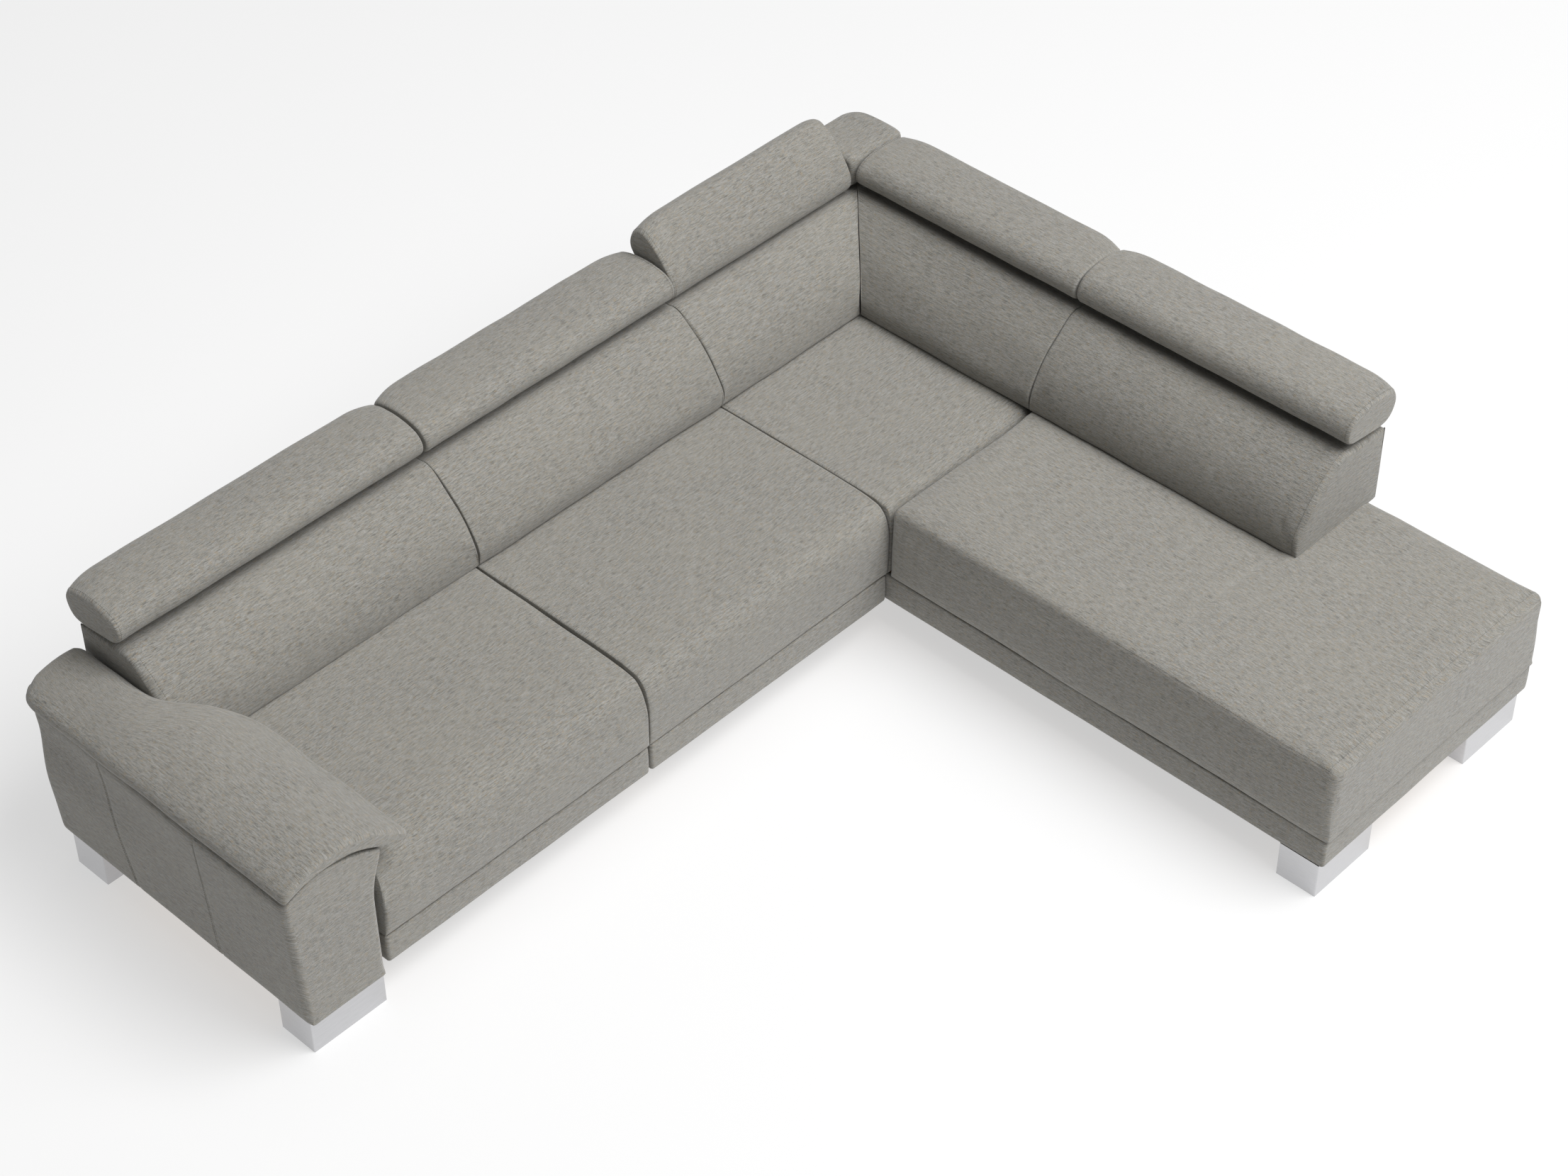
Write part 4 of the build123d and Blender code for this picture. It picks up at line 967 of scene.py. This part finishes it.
extra = [NOTCH_PLACE - 0.0015, NOTCH_PLACE + 0.0015]
for seam in SIDE_SEAMS:
    extra += [seam - 0.008, seam - 0.003, seam, seam + 0.003, seam + 0.008]
stations = []
for place, share in end_places(arm_near, arm_far, runs=(0.022, 0.030), pitch=0.022, extra=extra):
    draw = 0.018 if place < 0.4 else 0.022
    stations.append((place, drawn_in(arm_sides(place), draw * share, flat=((LOW, UP), (HIGH, UP)))))
arm = soft_box("arm_cover", "arm", stations, n_into=16, n_up=26)
slope = np.interp(arm.local[:, 0], [arm_near, *SIDE_SEAMS, arm_far], [0, *SIDE_SEAMS.values(), 0])
outside = np.clip((arm.local[:, 1] - 2.0) / 0.06, 0, 1)
for seam in SIDE_SEAMS:
    away = np.abs(arm.local[:, 0] - seam)
    arm.local[:, 1] -= outside * np.interp(away, [0, 0.003, 0.0081], [0.0032, 0.0010, 0.0])
arm.local[:, 0] += outside * slope * (arm.local[:, 2] - FOOT_HEIGHT)
move_points(arm.obj.data, in_room("arm", arm.local))
ripple(arm.obj, amount=0.0007, length=0.25, seed=71)
arm_cover = finished(arm.obj, "sofa", ["arm_body"])

# %% [markdown]
# A loose pad is laid over the arm. It is arched like the arm's top, droops over the inner edge as a
# lip, and turns in towards the back, where the back cushion needs room. Two arcs through three points
# each give its upper and lower side, and one line seen from above gives its inner edge.

# %% Arm pad


def arc(*points):
    """Height on the arc through three points, as a function of the place."""
    square = np.array([[x, y, 1] for x, y in points], float)
    d, e, f = np.linalg.solve(square, -np.array([x ** 2 + y ** 2 for x, y in points]))
    middle, level = -d / 2, -e / 2
    radius = math.sqrt(middle ** 2 + level ** 2 - f)
    return lambda x: level + np.sqrt(np.maximum(radius ** 2 - (np.asarray(x) - middle) ** 2, 0))


pad_top = arc((2.085, SEAT_TOP + 0.148), (1.965, SEAT_TOP + 0.182), (1.728, SEAT_TOP + 0.092))
pad_base = arc((2.095, SEAT_TOP + 0.110), (1.965, SEAT_TOP + 0.142), (1.793, SEAT_TOP + 0.084))
INNER_EDGE = rounded([(-0.032, 1.714), (0.30, 1.713), (0.470, 1.716), (0.545, 1.734), (0.60, 1.784),
                      (0.64, 1.838), (0.69, 1.878), (0.75, 1.892), (0.85, 1.8925), (0.995, 1.8925)])
PAD_NOSE = [(2.0945, 0.122), (2.092, 0.136), (2.080, 0.149)]
TUCK, TUCK_RUN = 0.030, 0.07
LIP_END = 1.793
pad_start, pad_end = span("arm", "arm_pad")[:, 0] + (0.007, -0.014)


def pad_sides(place):
    """Sides across the pad: arched over the arm, a rolled nose outside, a hanging lip inside."""
    edge = float(np.interp(place, INNER_EDGE[:, 0], INNER_EDGE[:, 1]))
    turn = float(np.clip((place - pad_end + TUCK_RUN) / TUCK_RUN, 0, 1))
    tuck = TUCK * (1 - math.sqrt(1 - turn * turn))
    back = float(np.clip((place - 0.2) / 0.6, 0, 1))
    reach = np.linspace(edge + 0.020, 2.078 - tuck, 24)
    hang = SEAT_TOP + 0.066 + (reach - 1.746) * 0.38
    under = np.column_stack([reach, np.where(reach < LIP_END, hang, pad_base(reach))])
    over = np.linspace(2.060 - tuck, edge + 0.022, 24)
    top = np.column_stack([over, pad_top(over)])
    nose = [(2.087 - tuck, SEAT_TOP + 0.114 - 0.008 * back)]
    nose += [(x - tuck, SEAT_TOP + z) for x, z in PAD_NOSE]
    high, low = top[-1, 1], under[0, 1]
    lip = [(edge + 0.006, high - (high - low) * 0.25), (edge, (high + low) / 2),
           (edge + 0.005, low + (high - low) * 0.15)]
    return [under, rounded([under[-1], *nose, top[0]]), top, rounded([top[-1], *lip, under[0]])]


stations = []
for place, share in end_places(pad_start, pad_end, runs=(0.020, 0.034)):
    draw = 0.010 if place < 0.4 else 0.013
    stations.append((place, drawn_in(pad_sides(place), draw * share)))
arm_top = soft_box("arm_pad_cover", "arm", stations, n_into=26, n_up=8)
swell(arm_top, arm_top.side_of == LOW, cap=0.005)
ripple(arm_top.obj, amount=0.0012, length=0.18, seed=72)
finished(arm_top.obj, "sofa", ["arm_pad"])

# %% [markdown]
# The corner block fills the space between the two corner headrests. It is a firm padded block with
# a well rounded outer corner, so its section gets shorter towards the outer end.

# %% Corner block
(block_start, block_near, block_low), (block_end, block_far, block_high) = span("long", "corner_block")
OUTER_ROUND, BLOCK_ROUND = 0.065, 0.020


def block_sides(place):
    over = max(0.0, place - (block_end - OUTER_ROUND))
    far = block_far - (OUTER_ROUND - math.sqrt(max(OUTER_ROUND ** 2 - over ** 2, 0)))

    def upright(x, way):
        return [(x + way * 0.004, block_low), (x, block_low + 0.02), (x, block_high - BLOCK_ROUND * 1.3),
                (x + way * BLOCK_ROUND * 0.3, block_high - BLOCK_ROUND * 0.35)]

    rear, near = upright(far, -1), upright(block_near, 1)[::-1]
    high = [rear[-1], (far - BLOCK_ROUND * 1.4, block_high), ((block_near + far) / 2, block_high + 0.002),
            (block_near + BLOCK_ROUND * 1.4, block_high), near[0]]
    return [np.array([near[-1], rear[0]]), rounded(rear), rounded(high), rounded(near)]


stations = [(place, drawn_in(block_sides(min(place, block_end - 0.004)), 0.014 * share, flat=((LOW, UP),)))
            for place, share in end_places(block_start, block_end, runs=(0.020, 0.020), pitch=0.010)]
corner_cap = soft_box("corner_cap", "long", stations, n_into=18, n_up=8)
ripple(corner_cap.obj, amount=0.0006, length=0.15, seed=81)
finished(corner_cap.obj, "sofa", ["corner_block"])

# %% [markdown]
# The bases are wrapped in plain bands of the cover, pulled round the corners and turned under at the
# floor side. A band is a thin strip that runs round the base, so it is swept along its outline. Its
# top is turned in over the frame, as far as a fixed inset, so that no gap shows under the seats.

# %% Base bands
BAND_ROUND, BAND_STEP, BAND_INSET = 0.010, 0.03, 0.014
BAND_FOOT = [(-0.0055, 0.0), (-0.0025, 0.0), (-0.0004, 0.003), (0.0007, 0.02)]
BAND_TOP = [(0.0007, -0.02), (0.0, -0.006), (-0.0006, -0.001), (-0.003, 0.0012), (-0.006, 0.0015),
            (-0.009, 0.0015), (-0.0091, 0.0011), (-0.006, 0.0009), (-0.0057, -0.002), (-0.0055, -0.02)]
TURNED_IN = -0.008


def band_path(low, high):
    """The outline of a base with rounded corners, in even steps."""
    r = BAND_ROUND
    corners = []
    for x, y, first in ((high.x - r, low.y + r, -90), (high.x - r, high.y - r, 0),
                        (low.x + r, high.y - r, 90), (low.x + r, low.y + r, 180)):
        for angle in np.radians(np.linspace(first, first + 90, 7)):
            corners.append((x + r * math.cos(angle), y + r * math.sin(angle)))
    corners = np.array(corners + corners[:1])
    parts = []
    for pair in zip(corners, corners[1:]):
        steps = max(1, int(np.linalg.norm(pair[1] - pair[0]) / BAND_STEP))
        parts.append(shared_out(pair, steps)[:-1])
    return np.vstack(parts)


def band(name, node):
    low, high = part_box(node)
    path = band_path(low, high)
    count = len(path)
    ahead = np.roll(path, -1, axis=0) - np.roll(path, 1, axis=0)
    out = np.stack([ahead[:, 1], -ahead[:, 0]], axis=1)
    out /= np.linalg.norm(out, axis=1)[:, None]
    profile = [(offset, low.z + up) for offset, up in BAND_FOOT]
    profile += [(0.0009, (low.z + high.z) / 2)]
    profile += [(offset, high.z + up) for offset, up in BAND_TOP]
    rows = len(profile)
    points, faces, uvs = [], [], []
    inner_low, inner_high = np.array(low[:2]) + BAND_INSET, np.array(high[:2]) - BAND_INSET
    for k in range(count):
        for offset, height in profile:
            spot = path[k] + out[k] * offset
            if offset < TURNED_IN:
                spot = np.clip(path[k], inner_low, inner_high)
            points.append((*spot, height))
    reach = lengths_along(np.vstack([path, path[:1]]))
    climb = [*lengths_along(np.array(profile))]
    climb.append(climb[-1] + high.z - low.z)
    for k in range(count):
        n = (k + 1) % count
        for r in range(rows):
            q = (r + 1) % rows
            faces.append((k * rows + r, n * rows + r, n * rows + q, k * rows + q))
            uvs.append(((reach[k], climb[r]), (reach[k + 1], climb[r]),
                        (reach[k + 1], climb[r + 1]), (reach[k], climb[r + 1])))
    return woven_piece(name, points, faces, uvs)


for number, name in enumerate(("left", "middle", "chaise")):
    strip = band("base_band_" + name, "base_cover_" + name)
    ripple(strip, amount=0.0005, length=0.20, seed=91 + number)
    finished(strip, "sofa", ["base_cover_" + name])

# %% [markdown]
# The rear covers close the backs behind. They are thin padded panels with soft edges. One section
# swept along each wing makes them, as it does the seats.

# %% Rear covers
PANEL_ROUND = 0.006


def rear_panel(wing):
    (start, near, low), (end, far, high) = span(wing, "rear_cover_" + wing)
    soft = far - PANEL_ROUND
    rear = rounded([(soft, low), (far, low + PANEL_ROUND), (far, (low + high) / 2),
                    (far, high - PANEL_ROUND), (soft, high)])
    sides = [np.array([(near, low), (soft, low)]), rear,
             np.array([(soft, high), (near, high)]), np.array([(near, high), (near, low)])]
    stations = [(place, drawn_in(sides, 0.005 * share, flat=((LOW, UP), (NEAR, INTO))))
                for place, share in end_places(start, end, runs=(0.008, 0.008), pitch=0.03)]
    return soft_box("rear_panel_" + wing, wing, stations, n_into=3, n_up=24)


for number, wing in enumerate(("long", "right")):
    panel = rear_panel(wing)
    ripple(panel.obj, amount=0.0006, length=0.4, seed=101 + number)
    finished(panel.obj, "sofa", ["rear_cover_" + wing])

# %% [markdown]
# Sewn edges show a row of stitches. A row could be modelled stitch by stitch, but it only repeats
# along a line, so Geometry Nodes make it: the line is shared out by the spacing, and a small bead of
# thread is put on each place, turned along the line. A second tree lays a round piping on a line.

# %% Trees for stitches and piping


def row_tree(name, sizes, build):
    """A tree from a line of edges to thread: named sizes, a material, and the nodes in between."""
    tree = bpy.data.node_groups.new(name, "GeometryNodeTree")
    sockets = tree.interface
    sockets.new_socket("Line", in_out="INPUT", socket_type="NodeSocketGeometry")
    for size, value in sizes.items():
        sockets.new_socket(size, in_out="INPUT", socket_type="NodeSocketFloat").default_value = value
    sockets.new_socket("Thread", in_out="INPUT", socket_type="NodeSocketMaterial")
    sockets.new_socket("Sewn", in_out="OUTPUT", socket_type="NodeSocketGeometry")
    given = tree.nodes.new("NodeGroupInput").outputs

    def node(kind, settings=None, **links):
        made = tree.nodes.new(kind)
        for key, value in (settings or {}).items():
            setattr(made, key, value)
        for key, value in links.items():
            socket = made.inputs[key.replace("_", " ")]
            if isinstance(value, bpy.types.NodeSocket):
                tree.links.new(value, socket)
            else:
                socket.default_value = value
        return made.outputs[0]

    line = node("GeometryNodeResampleCurve", {"mode": "LENGTH"}, Length=given["Spacing"],
                Curve=node("GeometryNodeMeshToCurve", Mesh=given["Line"]))
    whole = node("GeometryNodeRealizeInstances", Geometry=build(node, line, given))
    shaded = node("GeometryNodeSetShadeSmooth", Geometry=whole)
    dyed = node("GeometryNodeSetMaterial", Geometry=shaded, Material=given["Thread"])
    tree.links.new(dyed, tree.nodes.new("NodeGroupOutput").inputs[0])
    return tree


def beads(node, line, given):
    """One bead of thread on each place of the line."""
    bead = node("GeometryNodeMeshIcoSphere", Radius=0.5, Subdivisions=2)
    size = node("ShaderNodeCombineXYZ", X=given["Length"], Y=given["Thickness"], Z=given["Thickness"])
    turn = node("FunctionNodeAlignRotationToVector", {"axis": "X"}, Vector=node("GeometryNodeInputTangent"))
    return node("GeometryNodeInstanceOnPoints", Points=line, Instance=bead, Rotation=turn, Scale=size)


def cord(node, line, given):
    """A round cord along the line."""
    ring = node("GeometryNodeCurvePrimitiveCircle", Resolution=8, Radius=given["Thickness"])
    return node("GeometryNodeCurveToMesh", Curve=line, Profile_Curve=ring)


stitch_tree = row_tree("stitch_row", {"Spacing": 0.0070, "Length": 0.0046, "Thickness": 0.0011}, beads)
piping_tree = row_tree("piping_row", {"Spacing": 0.008, "Thickness": 0.0022}, cord)
thread = Recipe("sewing_thread", Specular_IOR_Level=0.3)
twist = thread.noise(thread.node("TexCoord", out="Object"), (900, 900, 900))
thread_tone = thread.mix(twist, linear(78, 76, 71), linear(112, 109, 102))
thread.finish(thread_tone, twist * 0.2 + 0.6, twist, depth=0.0003, strength=0.4)
print("stitch and piping trees ready")

# %% [markdown]
# Each seam line was read from its cushion, or is drawn beside its groove on the arm. It is laid on the
# finished surface, so that the thread lies in the cloth, and all rows of one body become one plain
# mesh. The two open ends of the backs are edged with piping instead.

# %% Sew the seams
THREAD_LIFT = 0.0003
BESIDE_GROOVE = 0.0035


def laid(piece, line):
    """A line of points laid on the surface of a piece."""
    mesh = piece.data
    surface = BVHTree.FromPolygons([v.co for v in mesh.vertices], [f.vertices for f in mesh.polygons])
    row = []
    for point in shared_out(line, max(2, len(line) * 2)):
        spot, normal, _, _ = surface.find_nearest(Vector(point))
        row.append(spot + normal * THREAD_LIFT)
    return row


def sewn(name, body, tree, rows):
    """All rows of one kind on one body, as one mesh."""
    points, edges = [], []
    for row in rows:
        edges += [(len(points) + k, len(points) + k + 1) for k in range(len(row) - 1)]
        points += row
    mesh = bpy.data.meshes.new(name)
    mesh.from_pydata(points, edges, [])
    host = placed(name, mesh)
    modifier = host.modifiers.new("Rows", "NODES")
    modifier.node_group = tree
    modifier[tree.interface.items_tree["Thread"].identifier] = thread.material
    made_plain(host)
    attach(host, body)


for seam, lean in SIDE_SEAMS.items():
    groove = [(seam + BESIDE_GROOVE + lean * (z - FOOT_HEIGHT), 2.09, z)
              for z in np.linspace(0.125, ARM_HIGH - 0.03, 40)]
    sofa_seams.append((arm_cover, in_room("arm", groove)))
sofa_seams += [(chaise_top, line) for line in chaise_seams]
sewn("sofa_stitches", "sofa", stitch_tree, [laid(*seam) for seam in sofa_seams])
for body, seam in headrest_seams.items():
    sewn(body + "_stitches", body, stitch_tree, [laid(*seam)])
piping = []
for wing, place in (("right", open_end - 0.002), ("long", arm_end + 0.002)):
    edge = [(place, SEAT_LINE[wing] + BACK_REAR - 0.004, z)
            for z in np.linspace(SEAT_TOP + 0.004, SEAT_TOP + 0.240, 12)]
    piping.append([Vector(point) for point in in_room(wing, edge)])
sewn("back_piping", "sofa", piping_tree, piping)

# %% [markdown]
# A plain white floor and soft studio light: one broad key from the right in front, and an even pale
# room all round. The floor glows a little, because a studio's sweep is lit by lamps of its own.

# %% Floor and light
FLOOR_HALF = 40
scene = bpy.context.scene
floor_mesh = bpy.data.meshes.new("floor")
floor_mesh.from_pydata([(x * FLOOR_HALF, y * FLOOR_HALF, 0) for x, y in ((-1, -1), (1, -1), (1, 1), (-1, 1))],
                       [], [(0, 1, 2, 3)])
floor = placed("floor", floor_mesh)
pale = Recipe("pale_floor", Roughness=0.9, Specular_IOR_Level=0.1, Emission_Strength=0.56,
              Base_Color=(0.36, 0.36, 0.36, 1), Emission_Color=(1, 1, 1, 1))
floor_mesh.materials.append(pale.material)

if scene.world is None:
    scene.world = bpy.data.worlds.new("studio")
scene.world.use_nodes = True
sky = scene.world.node_tree.nodes["Background"]
sky.inputs["Color"].default_value = (1.0, 1.0, 1.0, 1)
sky.inputs["Strength"].default_value = 0.15


def softbox(name, place, aim_at, size, power):
    light = bpy.data.lights.new(name, "AREA")
    light.shape = "SQUARE"
    light.size = size
    light.energy = power
    lamp = placed(name, light)
    lamp.location = place
    lamp.rotation_mode = "QUATERNION"
    lamp.rotation_quaternion = (Vector(aim_at) - Vector(place)).to_track_quat("-Z", "Y")
    lamp.visible_camera = False


softbox("key", (3.4, -6.1, 11.6), (0, 0, 0.3), size=10.0, power=2200)
softbox("overhead", (0, 0, 9.5), (0, 0, 0), size=8.0, power=190)
print("floor and", len(bpy.data.lights), "lights ready")

# %% [markdown]
# The camera stands where the photograph was taken from. Its place is given from the inner corner, and
# its focal length in pixels of the photograph, which is how both were measured.

# %% Camera
PHOTO_WIDTH, FOCAL_PIXELS, SENSOR = 2212, 4648.3, 36.0
YAW, PITCH_DOWN, ROLL = (math.radians(a) for a in (46.209, 41.988, -0.466))
camera_data = bpy.data.cameras.new("camera")
camera_data.sensor_width = SENSOR
camera_data.sensor_fit = "HORIZONTAL"
camera_data.lens = SENSOR * FOCAL_PIXELS / PHOTO_WIDTH
camera_data.clip_end = 200.0
camera = placed("camera", camera_data)
forward = Vector((math.sin(YAW) * math.cos(PITCH_DOWN), math.cos(YAW) * math.cos(PITCH_DOWN),
                  -math.sin(PITCH_DOWN)))
level = Vector((math.cos(YAW), -math.sin(YAW), 0.0))
upright = level.cross(forward)
right = level * math.cos(ROLL) + upright * math.sin(ROLL)
up = upright * math.cos(ROLL) - level * math.sin(ROLL)
camera.matrix_world = Matrix((right, up, -forward)).transposed().to_4x4()
camera.location = Vector(inner_corner) + Vector((-4.995, -4.401, 6.142))
scene.camera = camera
scene.view_settings.view_transform = "Standard"
print("camera at", [round(v, 3) for v in camera.location])
